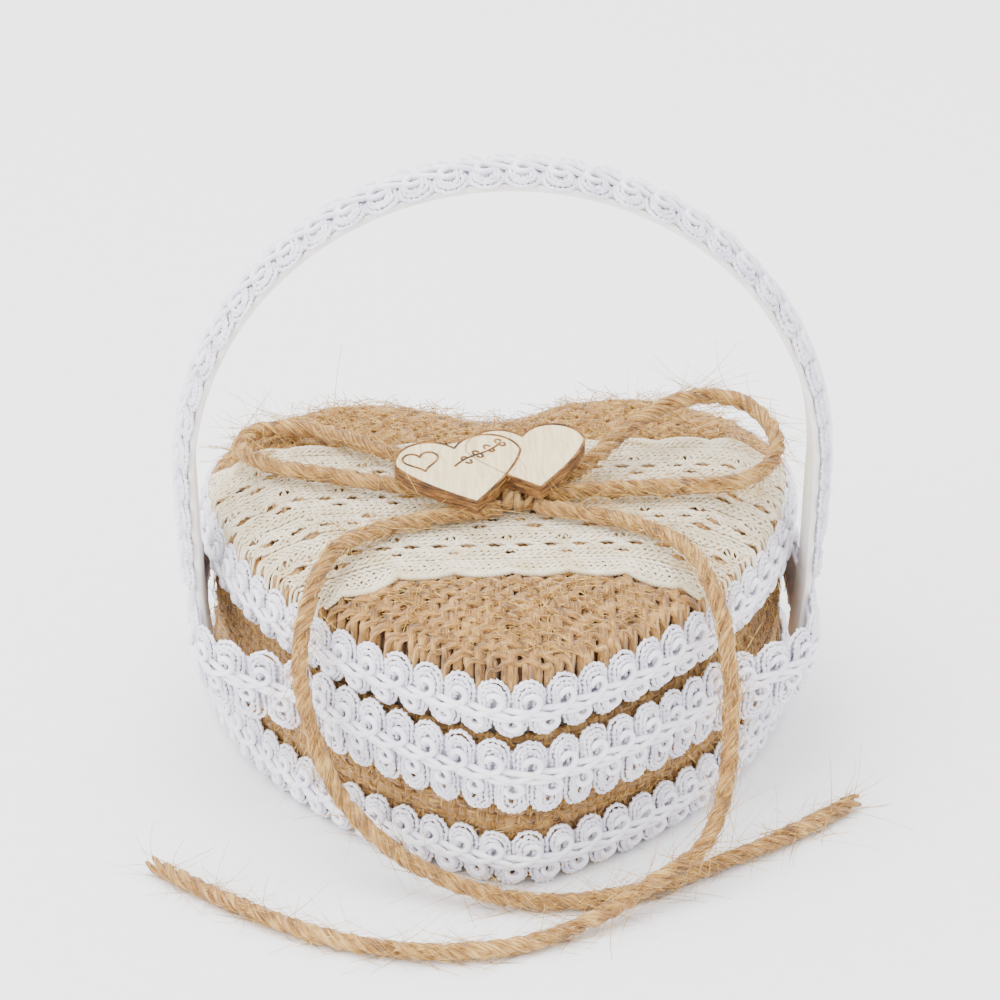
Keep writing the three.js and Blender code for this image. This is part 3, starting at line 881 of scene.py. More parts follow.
# %% Build the handle
PLASTIC, plastic_tree, plastic_shader = new_material(
    "off-white plastic strip", 0.38, Base_Color=linear("#F1EDE6"), IOR=1.49,
    Subsurface_Weight=0.2, Subsurface_Scale=1.0 * MM)
plastic_place = add_node(plastic_tree, "ShaderNodeTexCoord")
plastic_haze = add_node(plastic_tree, "ShaderNodeTexNoise",
                        {"Vector": plastic_place.outputs["Object"], "Scale": 180.0})
plastic_tree.links.new(
    blend_colours(plastic_tree, plastic_haze.outputs["Fac"],
                  [(0.3, "#E9E4DC"), (0.7, "#F6F3EE")]),
    plastic_shader.inputs["Base Color"])
raise_bump(plastic_tree, plastic_shader, plastic_haze.outputs["Fac"], 0.05 * MM, 0.4)

FOOT_TRIM = 2.6 * MM
strip = object_from("handle_strip", *handle_strip(
    0, BAND_THICKNESS, BAND_WIDTH / 2, FOOT_TRIM, HANDLE_LENGTH - FOOT_TRIM))
fit(strip, PLASTIC, "box", "plastic", "handle_band")

HANDLE_BRAID_START = 13.5 * MM
handle_braid_length = HANDLE_LENGTH - 2 * HANDLE_BRAID_START
BRAID_BASE = BAND_THICKNESS + 0.25 * MM


def laid_over_band(along, across, outwards):
    """The gimp on the handle, which rounds over a little towards its edges."""
    drop = 0.012 * across ** 2 / MM
    return laid_on_handle(HANDLE_BRAID_START)(along, across, outwards + BRAID_BASE - drop)


crimped, satin = braid_threads(laid_over_band, handle_braid_length, 5.9 * MM, 5.9 * MM, rng,
                               pitch=5.0 * MM, closed=False)
fit(object_from("handle_braid_tongues", *crimped), GIMP_CRIMP, "box", "braid", "handle_braid")
fit(object_from("handle_braid_cords", *satin), GIMP_SATIN, "box", "braid")
# The backing under the handle's braid is painted grey as the shade between the tongues.
fit(object_from("handle_braid_backing", *handle_strip(
    BAND_THICKNESS + 0.05 * MM, BAND_THICKNESS + 0.65 * MM, 3.9 * MM,
    HANDLE_BRAID_START, HANDLE_LENGTH - HANDLE_BRAID_START, 0.2 * MM)),
    GIMP_BACKING_SHADE, "box", "braid")

# %% [markdown]
# ## Card, felt and paper
# The wall, the neck that the lid locates on, the floor and the lid's board are grey
# card. They show only in the gap at the front and when the lid is open. Card is
# matt, with short pressed fibres; felt is rougher; the lining paper is smooth.

# %% Card, felt and paper pieces
def pressed_material(name, dark, light, grain_per_m, depth, roughness):
    material, tree, shader = new_material(name, roughness)
    place = add_node(tree, "ShaderNodeTexCoord")
    grain = add_node(tree, "ShaderNodeTexNoise",
                     {"Vector": place.outputs["Object"], "Scale": grain_per_m, "Detail": 5.0,
                      "Roughness": 0.7})
    tree.links.new(blend_colours(tree, grain.outputs["Fac"], [(0.35, dark), (0.65, light)]),
                   shader.inputs["Base Color"])
    raise_bump(tree, shader, grain.outputs["Fac"], depth, 0.6)
    return material


CARD = pressed_material("grey card", "#8B8074", "#A79B8D", 1400.0, 0.08 * MM, 0.9)
FELT = pressed_material("wool felt", "#CBBBA1", "#E0D3BC", 1800.0, 0.35 * MM, 0.95)
PAPER = pressed_material("lining paper", "#E3DBCB", "#F1EBDF", 900.0, 0.04 * MM, 0.75)
# The wadding is painted dark brown as the shade seen through the gaps of the burlap over it.
WADDING_PAINTED_SHADE = pressed_material("wadding painted dark as shade under the weave", "#4A3018", "#7A5530", 700.0, 0.5 * MM, 0.95)

wall = object_from("card_wall", *swept_ring(
    rounded_section(2.6 * MM, 4.1 * MM, 2.7 * MM, 27.4 * MM, 0.25 * MM), wave=0.04 * MM))
fit(wall, CARD, "box", "card", "body_wall")
neck = object_from("card_neck", *swept_ring(
    rounded_section(4.3 * MM, 5.3 * MM, 2.7 * MM, 27.8 * MM, 0.25 * MM), wave=0.04 * MM))
fit(neck, CARD, "box", "card", "inner_neck")
fit(object_from("card_floor", *heart_slab(2.6 * MM, 1.0 * MM, 2.5 * MM)),
    CARD, "box", "card", "base_board")
fit(object_from("felt_foot", *heart_slab(2.6 * MM, 0.0, 0.8 * MM, 0.2 * MM)),
    FELT, "box", "felt", "base_felt")
fit(object_from("lid_card", *heart_slab(4.0 * MM, 28.8 * MM, 30.8 * MM)),
    CARD, "lid", "card", "lid_board")
fit(object_from("lid_paper_lining", *heart_slab(4.0 * MM, 28.0 * MM, 28.6 * MM, 0.15 * MM)),
    PAPER, "lid", "paper", "lid_lining")

# %% [markdown]
# ## Padded pieces
# The lid has wadding under its burlap, and the ring cushion inside is a stuffed satin
# pad. Both start from their CAD solids, are remeshed evenly, and are then inflated
# as cloth for twenty frames. The movement is capped so that they stay in place.

# %% Inflate a CAD solid as cloth
def puffed(name, node, voxel, cap, grow=0.0, pressure=4.0):
    source = bpy.data.objects[node]
    piece = bpy.data.objects.new(name, source.data.copy())
    piece.matrix_world = source.matrix_world
    bpy.context.scene.collection.objects.link(piece)
    piece.data.materials.clear()
    bpy.ops.object.select_all(action="DESELECT")
    bpy.context.view_layer.objects.active = piece
    piece.select_set(True)
    bpy.ops.object.transform_apply(location=True, rotation=True, scale=True)
    piece.data.remesh_voxel_size = voxel
    bpy.ops.object.voxel_remesh()
    mesh = piece.data
    size = len(mesh.vertices)
    start, normal = np.empty(size * 3), np.empty(size * 3)
    mesh.vertices.foreach_get("co", start)
    mesh.vertices.foreach_get("normal", normal)
    start, normal = start.reshape(-1, 3), normal.reshape(-1, 3)
    start = start + normal * grow
    mesh.vertices.foreach_set("co", start.ravel())
    cloth = piece.modifiers.new("cloth", "CLOTH")
    cloth.settings.use_pressure = True
    cloth.settings.uniform_pressure_force = pressure
    cloth.settings.effector_weights.gravity = 0
    cloth.settings.quality = 5
    for number in range(1, 21):
        bpy.context.scene.frame_set(number)
    shaped = piece.evaluated_get(bpy.context.evaluated_depsgraph_get()).data
    moved = np.empty(size * 3)
    shaped.vertices.foreach_get("co", moved)
    travel = moved.reshape(-1, 3) - start
    far = np.linalg.norm(travel, axis=1, keepdims=True)
    start = start + travel * np.minimum(1, cap / np.maximum(far, 1e-9))
    piece.modifiers.remove(cloth)
    bpy.context.scene.frame_set(1)
    mesh.vertices.foreach_set("co", start.ravel())
    print(name, "moved up to", round(float(far.max()) / MM, 2), "mm before the cap")
    smooth = piece.modifiers.new("smooth", "SUBSURF")
    smooth.levels = 1
    final = bpy.data.meshes.new_from_object(
        piece.evaluated_get(bpy.context.evaluated_depsgraph_get()))
    piece.modifiers.clear()
    piece.data = final
    final.polygons.foreach_set("use_smooth", np.ones(len(final.polygons), bool))
    return piece


lid_pad = puffed("lid_wadding", "lid_padding", 3 * MM, 0.5 * MM)
# The wadding's dark colour is painted shade under the weave.
fit(lid_pad, WADDING_PAINTED_SHADE, "lid", "wadding", "lid_padding")

# %% [markdown]
# ### The ring cushion
# The cushion is ivory satin with a slot for the ring. Satin floats its yarns, so it
# is smooth with a broad, soft highlight and a faint thread grain.

# %% The ring cushion
SATIN, satin_tree, satin_shader = new_material(
    "ivory satin", 0.36, Sheen_Weight=0.35, Anisotropic=0.5, Specular_IOR_Level=0.45)
satin_place = add_node(satin_tree, "ShaderNodeTexCoord")
satin_stretch = add_node(satin_tree, "ShaderNodeMapping",
                         {"Vector": satin_place.outputs["Object"], "Scale": (300, 4000, 300)})
satin_grain = add_node(satin_tree, "ShaderNodeTexNoise",
                       {"Vector": satin_stretch.outputs["Vector"], "Scale": 1.0})
satin_tree.links.new(
    blend_colours(satin_tree, satin_grain.outputs["Fac"],
                  [(0.3, "#E6DAC4"), (0.7, "#F7F0E2")]),
    satin_shader.inputs["Base Color"])
raise_bump(satin_tree, satin_shader, satin_grain.outputs["Fac"], 0.03 * MM, 0.5)

cushion = puffed("satin_cushion", "ring_cushion", 2.0 * MM, 0.5 * MM)
fit(cushion, SATIN, "box", "satin", "ring_cushion")
print("padded pieces done")

# %% [markdown]
# ## Burlap
# Burlap is a plain weave of thick uneven jute yarns, about six to the centimetre.
# Each yarn is a tube that goes over one crossing and under the next. The yarns on
# the lid follow the wadding, found by dropping a ray on it; those on the box run
# round the heart and up and down.

# %% Weave the lid's burlap
YARN_PITCH = 1.6 * MM
YARN_HALF_WIDTH = 0.9 * MM
YARN_HALF_HEIGHT = 0.42 * MM
WEAVE_HEIGHT = 0.31 * MM
COVER_INSET = 1.3 * MM
LACE_FRONT = -24 * MM
LACE_BACK = 18 * MM
SECTION_TURN = np.arange(7) * TAU / 7
pad_tree = BVHTree.FromPolygons([v.co.copy() for v in lid_pad.data.vertices],
                                [tuple(p.vertices) for p in lid_pad.data.polygons])
GRID = 1.0 * MM
GRID_X = np.arange(-48, 48.1, 1.0) * MM
GRID_Y = np.arange(-47, 46.1, 1.0) * MM


def drop_heights():
    """The wadding's height over a grid, carried outwards down the lid's side."""
    heights = np.full((len(GRID_X), len(GRID_Y)), np.nan)
    for i, x in enumerate(GRID_X):
        for j, y in enumerate(GRID_Y):
            hit = pad_tree.ray_cast(Vector((x, y, 80 * MM)), Vector((0, 0, -1)))[0]
            if hit:
                heights[i, j] = hit.z
    return heights


inset_grid = inset_of(*np.meshgrid(GRID_X, GRID_Y, indexing="ij"))
height_grid = drop_heights()
top_height = np.nanmax(height_grid)
RIM_LEVEL = 34.2 * MM
RIM_RISE = 5.1 * MM
RIM_START = 0.9 * MM
RIM_RUN = 12 * MM
edge_shape = RIM_LEVEL + RIM_RISE * (
    1 - (1 - np.clip((inset_grid - RIM_START) / RIM_RUN, 0, 1)) ** 2)
height_grid = np.where(np.isnan(height_grid) | (inset_grid < 4.6 * MM), edge_shape,
                       np.maximum(height_grid, edge_shape - 0.4 * MM))
for _ in range(3):
    height_grid[1:-1, 1:-1] = (
        height_grid[1:-1, 1:-1] * 2 + height_grid[:-2, 1:-1] + height_grid[2:, 1:-1]
        + height_grid[1:-1, :-2] + height_grid[1:-1, 2:]) / 6
print("wadding top at", round(top_height / MM, 1), "mm")


def lid_surface(x, y):
    """The height of the padded lid at each point, between the grid's points."""
    i = np.clip((x - GRID_X[0]) / GRID, 0, len(GRID_X) - 1.001)
    j = np.clip((y - GRID_Y[0]) / GRID, 0, len(GRID_Y) - 1.001)
    low_i, low_j = i.astype(int), j.astype(int)
    part_i, part_j = i - low_i, j - low_j
    near = height_grid[low_i, low_j] * (1 - part_j) + height_grid[low_i, low_j + 1] * part_j
    far = height_grid[low_i + 1, low_j] * (1 - part_j) + height_grid[low_i + 1, low_j + 1] * part_j
    return near * (1 - part_i) + far * part_i


def yarn_section(girth, run, rng):
    """A flattened yarn with ridges of fibre twisting round it, for each of its points."""
    wide, high = YARN_HALF_WIDTH * girth[:, None], YARN_HALF_HEIGHT * girth[:, None]
    oval = wide * high / np.hypot(high * np.cos(SECTION_TURN), wide * np.sin(SECTION_TURN))
    twist = 2 * SECTION_TURN + (run * TAU / (4.5 * MM))[:, None] + rng.uniform(0, TAU)
    return oval * (1 + 0.12 * np.cos(twist)) * (1 + rng.normal(0, 0.05, oval.shape))


def yarn_span(fixed, along_x):
    """The stretches of one straight yarn that lie on the lid."""
    line = np.arange(-47, 47, 0.4) * MM
    steady = np.full(len(line), fixed)
    inside = inset_of(line, steady) if along_x else inset_of(steady, line)
    held = np.concatenate([[False], inside > COVER_INSET, [False]])
    edges = np.flatnonzero(np.diff(held.astype(int)))
    return [line[a:b] for a, b in zip(edges[::2], edges[1::2]) if b - a > 8]


def turned_down(path):
    """Carry both ends of a yarn over the edge and down behind the braid."""
    ends = []
    for end, before in ((path[0], path[2]), (path[-1], path[-3])):
        out = unit((end - before) * np.array([1, 1, 0]))
        steps = np.array([0.5, 1.2, 2.0, 3.0])[:, None] * MM
        drop = np.array([0, 0, -1.0]) * steps + out * np.sqrt(steps * 0.12 * MM)
        ends.append(end + drop)
    return np.concatenate([ends[0][::-1], path, ends[1]])


def facing_up(path):
    """Upwards along a path, and outwards where its ends turn down."""
    facing = np.zeros_like(path) + np.array([0, 0, 1.0])
    facing[:4] += 3 * unit(path[0] - path[4]) * np.array([1, 1, 0])
    facing[-4:] += 3 * unit(path[-1] - path[-5]) * np.array([1, 1, 0])
    return facing


def woven_yarns(along_x, rng):
    """All the lid's yarns in one direction."""
    parts = []
    numbers = np.arange(-28, 28)
    for number in numbers:
        fixed = (number + 0.5) * YARN_PITCH + rng.normal(0, 0.12 * MM)
        for line in yarn_span(fixed, along_x):
            side = wander(rng, len(line), 0.4 * MM, 9 * MM, 0.13 * MM)
            x, y = (line, fixed + side) if along_x else (fixed + side, line)
            crossing = math.pi * (line / YARN_PITCH + 0.5) + math.pi * number
            sign = 1 if along_x else -1
            lift = sign * WEAVE_HEIGHT * np.sin(crossing)
            z = lid_surface(x, y) + 0.55 * MM + lift
            path = turned_down(np.stack([x, y, z], -1))
            run = np.arange(len(path)) * 0.4 * MM
            girth = rng.normal(1, 0.08) + wander(rng, len(path), 0.4 * MM, 3 * MM, 0.12)
            section = yarn_section(girth, run, rng)
            parts.append(tubes(path[None], facing_up(path)[None], section[None], sides=7))
    return joined(parts)


rng = np.random.default_rng(21)
weft = object_from("lid_burlap_weft", *woven_yarns(True, rng))
fit(weft, BURLAP_YARN, "lid", "burlap", "lid_cover")
fit(object_from("lid_burlap_warp", *woven_yarns(False, rng)), BURLAP_YARN, "lid", "burlap")

# %% [markdown]
# ### The burlap's edge and its loose fibres
# The cloth is folded down over the rim and glued behind the braid. Jute sheds, so
# short fibres stand up from it in front of the lace and behind it.

# %% Turn the burlap down behind the braid, and let fibres stand
edge_inset = np.array([1.4, 1.5, 1.8, 2.6, 4.2, 6.4, 9.0])
edge_height = np.array([28.6, 31.4, 33.3, 35.0, 36.6, 37.9, 38.6])
outer = list(zip(edge_inset * MM, edge_height * MM))
inner = [(d + 0.5 * MM, z - 0.7 * MM) for d, z in reversed(outer)]
inner[-1] = (1.95 * MM, 28.6 * MM)
turned = object_from("lid_burlap_turned_edge", *swept_ring(outer + inner))
# The turned edge under the rim's yarns is painted dark brown as the shade seen between and behind
# the yarns.
BURLAP_PAINTED_SHADE = pressed_material("painted shade between burlap yarns", "#5E4223", "#8C6639", 1200.0,
                               0.3 * MM, 0.95)
fit(turned, BURLAP_PAINTED_SHADE, "lid", "burlap")


def standing_fibres(places, normals, rng, longest, lift):
    """Loose bent fibres over a woven surface."""
    count = len(places)
    heading = unit(np.cross(normals, unit(rng.normal(0, 1, (count, 3)))))
    sideways = np.cross(normals, heading)
    reach = rng.uniform(0.3, 1, count) * longest
    rise = rng.exponential(lift, count)
    curl = rng.normal(0, 0.35, count)
    share = np.linspace(0, 1, 6)[None, :, None]
    arc = np.sin(share * math.pi * 0.75)
    paths = (places[:, None] + heading[:, None] * reach[:, None, None] * share
             + normals[:, None] * (0.15 * MM + rise[:, None, None] * arc)
             + sideways[:, None] * (curl * reach)[:, None, None] * share ** 2)
    thin = rng.uniform(0.03, 0.07, count) * MM
    facing = np.broadcast_to(normals[:, None], paths.shape)
    return tubes(paths, facing, np.repeat(thin[:, None], 6, 1), sides=3)


scatter = rng.uniform(-46, 46, (16000, 2)) * MM
kept = scatter[inset_of(scatter[:, 0], scatter[:, 1]) > 2.4 * MM][:5000]
places = np.column_stack([kept, lid_surface(kept[:, 0], kept[:, 1]) + 1.1 * MM])
places = places[(places[:, 1] < LACE_FRONT - 1 * MM) | (places[:, 1] > LACE_BACK)]
fuzz = object_from("lid_burlap_fibres", *standing_fibres(
    places, np.broadcast_to([0, 0, 1.0], places.shape), rng, 6 * MM, 0.25 * MM))
fit(fuzz, JUTE_FIBRE, "lid", "burlap")

# %% [markdown]
# ### The box's burlap
# Upright yarns and yarns that run round the heart cross each other in turn.

# %% Weave the box's burlap
BOX_YARN_INSET = 1.8 * MM
SIDE_STEP = 0.42 * MM


def trimmed(points):
    """The burlap is cut lower at the front, where the card rim shows above it."""
    front = np.clip((-points[..., 1] - 14 * MM) / (16 * MM), 0, 1)
    lowered = 1 - 0.1 * front * front * (3 - 2 * front)
    points[..., 2] = points[..., 2] * lowered
    return points


def on_the_side(distance, wave):
    """Places for the box's yarns this far round the heart, and their facing."""
    place, normal = EDGE.at(distance)
    flat = place - normal * (BOX_YARN_INSET - wave)[..., None]
    return flat, np.concatenate([normal, np.zeros((*normal.shape[:2], 1))], -1)


up_count = int(EDGE.length / YARN_PITCH) // 2 * 2
up_pitch = EDGE.length / up_count
low, high = 0.7 * MM, 27.2 * MM
round_count = int((high - low) / YARN_PITCH)
round_pitch = (high - low) / round_count
heights = np.arange(low, high, SIDE_STEP)
starts = np.arange(up_count) * up_pitch + rng.normal(0, 0.12 * MM, up_count)
wave = WEAVE_HEIGHT * np.cos(math.pi * ((heights - low) / round_pitch - 0.5)[None]
                             + math.pi * np.arange(up_count)[:, None])
drift = np.array([wander(rng, len(heights), SIDE_STEP, 8 * MM, 0.14 * MM)
                  for _ in range(up_count)])
flat, facing = on_the_side(starts[:, None] + drift, wave)
paths = np.concatenate([flat, np.broadcast_to(heights[None, :, None], (*flat.shape[:2], 1))], -1)
paths = trimmed(paths)
girth = [yarn_section(rng.normal(1, 0.08) + wander(rng, len(heights), SIDE_STEP, 3 * MM, 0.1),
                      heights, rng) for _ in range(up_count)]
upright = object_from("box_burlap_uprights", *tubes(paths, facing, np.array(girth), sides=7))
fit(upright, BURLAP_YARN, "box", "burlap", "body_burlap")

along = np.arange(0, EDGE.length, SIDE_STEP)
levels = low + (np.arange(round_count) + 0.5) * round_pitch
wave = -WEAVE_HEIGHT * np.cos(math.pi * (along / up_pitch)[None]
                              + math.pi * np.arange(round_count)[:, None])
flat, facing = on_the_side(np.broadcast_to(along, (round_count, len(along))), wave)
drift = np.array([wander(rng, len(along), SIDE_STEP, 9 * MM, 0.12 * MM)
                  for _ in range(round_count)])
drift[:, -20:] *= np.linspace(1, 0, 20)
drift[:, :20] *= np.linspace(0, 1, 20)
paths = trimmed(np.concatenate([flat, (levels[:, None] + drift)[..., None]], -1))
girth = [yarn_section(1 + wander(rng, len(along), SIDE_STEP, 3 * MM, 0.1), along, rng)
         for _ in range(round_count)]
# A ring behind the box's yarns is painted dark brown as the shade seen through the gaps of the
# weave.
back_points, *back_rest = swept_ring(
    rounded_section(1.9 * MM, 2.4 * MM, 0.4 * MM, 26.8 * MM, 0.2 * MM))
box_shade_ring = object_from("box_burlap_back", trimmed(back_points), *back_rest)
fit(box_shade_ring, BURLAP_PAINTED_SHADE, "box", "burlap")
where, outward = EDGE.at(rng.uniform(0, EDGE.length, 1800))
spot_levels = rng.uniform(7, 26, 1800) * MM
spots = trimmed(np.column_stack([where - outward * 1.1 * MM, spot_levels]))
fuzz = object_from("box_burlap_fibres", *standing_fibres(
    spots, np.column_stack([outward, np.zeros(1800)]), rng, 4 * MM, 0.3 * MM))
fit(fuzz, JUTE_FIBRE, "box", "burlap")
hoops = object_from("box_burlap_rounds", *tubes(paths, facing, np.array(girth), sides=7,
                                                closed=True))
fit(hoops, BURLAP_YARN, "box", "burlap")

# %% [markdown]
# ## Lace
# A cotton lace band lies across the lid and is glued behind the braid at both sides.
# Its ground is rows of twisted threads. The rows are pushed apart round small
# eye-shaped holes set in diamonds, and both edges are scalloped.

# %% Knot the lace
LACE_ROW = 1.04 * MM
LACE_REPEAT = 8.3 * MM
LACE_THREAD = 0.25 * MM
LACE_LIFT = 1.45 * MM
EYE_HALF_LENGTH = 1.45 * MM
EYE_HALF_HEIGHT = 0.72 * MM
THREAD_SWING = 2.1 * MM
CORDING_SWING = 1.6 * MM


def eye_centres():
    """Holes in diamonds of four, one diamond to each repeat and in four rows."""
    centres = []
    middle = (LACE_FRONT + LACE_BACK) / 2
    for row, shift in ((-12.5, 0.0), (-4.2, 0.5), (4.2, 0.0), (12.5, 0.5)):
        for number in range(-6, 7):
            x = (number + shift) * LACE_REPEAT
            y = middle + row * MM
            for dx, dy in ((-2.1, 0), (2.1, 0), (0, 2.3), (0, -2.3)):
                centres.append((x + dx * MM, y + dy * MM))
    return np.array(centres)


EYES = eye_centres()


def push_apart(x, y):
    """Move lace threads away from the eyes so that each one opens."""
    shift = np.zeros_like(y)
    for eye_x, eye_y in EYES:
        across = (x - eye_x) / EYE_HALF_LENGTH
        opening = EYE_HALF_HEIGHT * np.clip(1 - across ** 2, 0, None)
        gap = y - eye_y
        fade = np.exp(-(gap / (1.15 * MM)) ** 2)
        shift += np.sign(gap) * opening * fade
    return shift


def scallop_edge(x, y):
    """Stretch the outer rows into scallops."""
    wave = np.abs(np.sin(math.pi * x / LACE_REPEAT)) ** 0.7
    front = np.clip((LACE_FRONT + 4 * MM - y) / (4 * MM), 0, 1)
    back = np.clip((y - LACE_BACK + 4 * MM) / (4 * MM), 0, 1)
    return (back - front) * wave * 1.3 * MM - (back - front) * 1.0 * MM


def lace_height(x, y):
    """The height at which the lace lies, a little above the burlap."""
    return lid_surface(x, y) + LACE_LIFT


rng = np.random.default_rng(31)
rows = np.arange(LACE_FRONT + 0.6 * MM, LACE_BACK - 0.3 * MM, LACE_ROW)
lace_parts = []
for number, row in enumerate(rows):
    line = np.arange(-47, 47, 0.36) * MM
    inside = inset_of(line, np.full(len(line), row)) > 0.9 * MM
    line = line[inside]
    for phase in (0, math.pi):
        swing = 0.3 * MM * np.sin(TAU * line / THREAD_SWING + phase + 1.3 * number)
        y = row + swing + wander(rng, len(line), 0.36 * MM, 6 * MM, 0.06 * MM)
        y = y + push_apart(line, y) + scallop_edge(line, y)
        z = lace_height(line, y) + 0.2 * MM * np.cos(TAU * line / THREAD_SWING + phase)
        path = turned_down(np.stack([line, y, z], -1))
        girth = LACE_THREAD * (1 + wander(rng, len(path), 0.36 * MM, 2 * MM, 0.12))
        lace_parts.append(tubes(path[None], facing_up(path)[None], girth[None], sides=5))
for row, out in ((LACE_FRONT, -1), (LACE_BACK, 1)):
    line = np.arange(-46, 46, 0.3) * MM
    line = line[inset_of(line, np.full(len(line), row)) > 1.2 * MM]
    for phase in (0, 2.1, 4.2):
        y = row + out * 0.25 * MM * np.sin(TAU * line / CORDING_SWING + phase)
        y = y + scallop_edge(line, np.full(len(line), row)) + out * 0.2 * MM
        z = lace_height(line, y) + 0.25 * MM * np.cos(TAU * line / CORDING_SWING + phase)
        path = np.stack([line, y, z], -1)[None]
        facing = np.zeros_like(path) + np.array([0, 0, 1.0])
        lace_parts.append(tubes(path, facing, 0.3 * MM, sides=5))
# The lace's darker colour is painted shade in the threads' hollows, mixed with random tone.
LACE_COTTON = thread_material("unbleached cotton lace", "#CDBB92", "#F2E8CF", 0.75, 12,
                              0.08 * MM, Sheen_Weight=0.2)
lace = object_from("lace_threads", *joined(lace_parts))
fit(lace, LACE_COTTON, "lid", "lace", "lace_band")

# %% [markdown]
# ## The knot and the wooden hearts
# The bow's knot is the twine itself passed round twice. Two small laser-cut hearts of
# basswood are glued on it. The laser chars their edges brown. The left one has a
# small engraved heart and, here, a plain leafy line; the right one is bare.

# %% Wrap the knot
KNOT = np.array([1.5, -4.5, 43.15]) * MM
knot_parts = []
for shift, tilt, wide in ((-1.5, 0.25, 2.1), (0.3, -0.15, 2.3), (1.9, 0.2, 2.0)):
    turn = np.linspace(0, TAU, 40)
    ring = np.column_stack([
        shift + tilt * np.sin(turn) * 2, wide * np.cos(turn), 0.85 * np.sin(turn) - 0.1]) * MM
    knot_parts.append(twisted_plies(smooth_route(KNOT + ring, 0.5 * MM), rng, 2.0 * MM))
knot = object_from("jute_knot", *joined(knot_parts))
fit(knot, JUTE_TWINE, "lid", "twine", "bow_knot")

# %% [markdown]
# ### Laser-cut hearts
# The face is pale basswood with its grain, and the cut edge and the engraved lines
# are charred.

# %% Cut the wooden hearts
WOOD_THICKNESS = 2.3 * MM
WOOD_PLACE = Matrix.Translation((0, -5 * MM, 45.15 * MM)) @ Matrix.Rotation(0.15, 4, "X")


def wood_outline(width, count=160):
    """A round-lobed heart of this width, anticlockwise from its point."""
    lobe, radius = 0.23 * width, 0.27 * width
    share = np.linspace(0, 1, 40)[:, None]
    start, pull, end = np.array([0, -0.6]), np.array([0.41, -0.24]), np.array([0.5, 0.0])
    side = width * ((1 - share) ** 2 * start + 2 * share * (1 - share) * pull
                    + share ** 2 * end)
    turn = np.linspace(0, math.acos(-lobe / radius), 60)[1:, None]
    top = np.array([lobe, 0]) + radius * np.column_stack([np.cos(turn), np.sin(turn)])
    right = np.concatenate([side, top])
    line = np.concatenate([right, right[-2:0:-1] * np.array([-1, 1]), right[:1]])
    return evenly(line, run_along(line), count, endpoint=False)


def shrink(outline, distance):
    """An outline moved inwards, kept tidy at its point and its cleft."""
    tangent = unit(np.roll(outline, -1, 0) - np.roll(outline, 1, 0))
    inward = np.column_stack([-tangent[:, 1], tangent[:, 0]])
    for _ in range(4):
        inward = unit(inward + np.roll(inward, 1, 0) + np.roll(inward, -1, 0))
    return outline + inward * distance


BASSWOOD, wood_tree, wood_shader = new_material(
    "basswood ply", 0.62, Specular_IOR_Level=0.35)
wood_place = add_node(wood_tree, "ShaderNodeTexCoord")
wood_stretch = add_node(wood_tree, "ShaderNodeMapping",
                        {"Vector": wood_place.outputs["Object"], "Scale": (2200, 160, 400),
                         "Rotation": (0, 0, 0.25)})
wood_grain = add_node(wood_tree, "ShaderNodeTexNoise",
                      {"Vector": wood_stretch.outputs["Vector"], "Scale": 1.0, "Detail": 4.0,
                       "Distortion": 0.3})
wood_tree.links.new(
    blend_colours(wood_tree, wood_grain.outputs["Fac"],
                  [(0.3, "#D2BC88"), (0.55, "#E6D3A4"), (0.75, "#F0E2BC")]),
    wood_shader.inputs["Base Color"])
raise_bump(wood_tree, wood_shader, wood_grain.outputs["Fac"], 0.05 * MM, 0.5)
CHAR, char_tree, char_shader = new_material("laser-charred wood", 0.75)
char_place = add_node(char_tree, "ShaderNodeTexCoord")
char_plies = add_node(char_tree, "ShaderNodeMapping",
                      {"Vector": char_place.outputs["Object"], "Scale": (300, 300, 2600)})
char_noise = add_node(char_tree, "ShaderNodeTexNoise",
                      {"Vector": char_plies.outputs["Vector"], "Scale": 1.0, "Detail": 4.0,
                       "Roughness": 0.7})
char_tree.links.new(
    blend_colours(char_tree, char_noise.outputs["Fac"],
                  [(0.36, "#2A1707"), (0.5, "#6A4318"), (0.66, "#A87838")]),
    char_shader.inputs["Base Color"])
raise_bump(char_tree, char_shader, char_noise.outputs["Fac"], 0.1 * MM)
SIDE_RINGS = [(0.1, 0.0), (0.0, 0.12), (0.0, 2.14), (0.1, 2.28), (0.16, 2.3)]
CHARRED_BANDS = (0, 1, 2, 3)


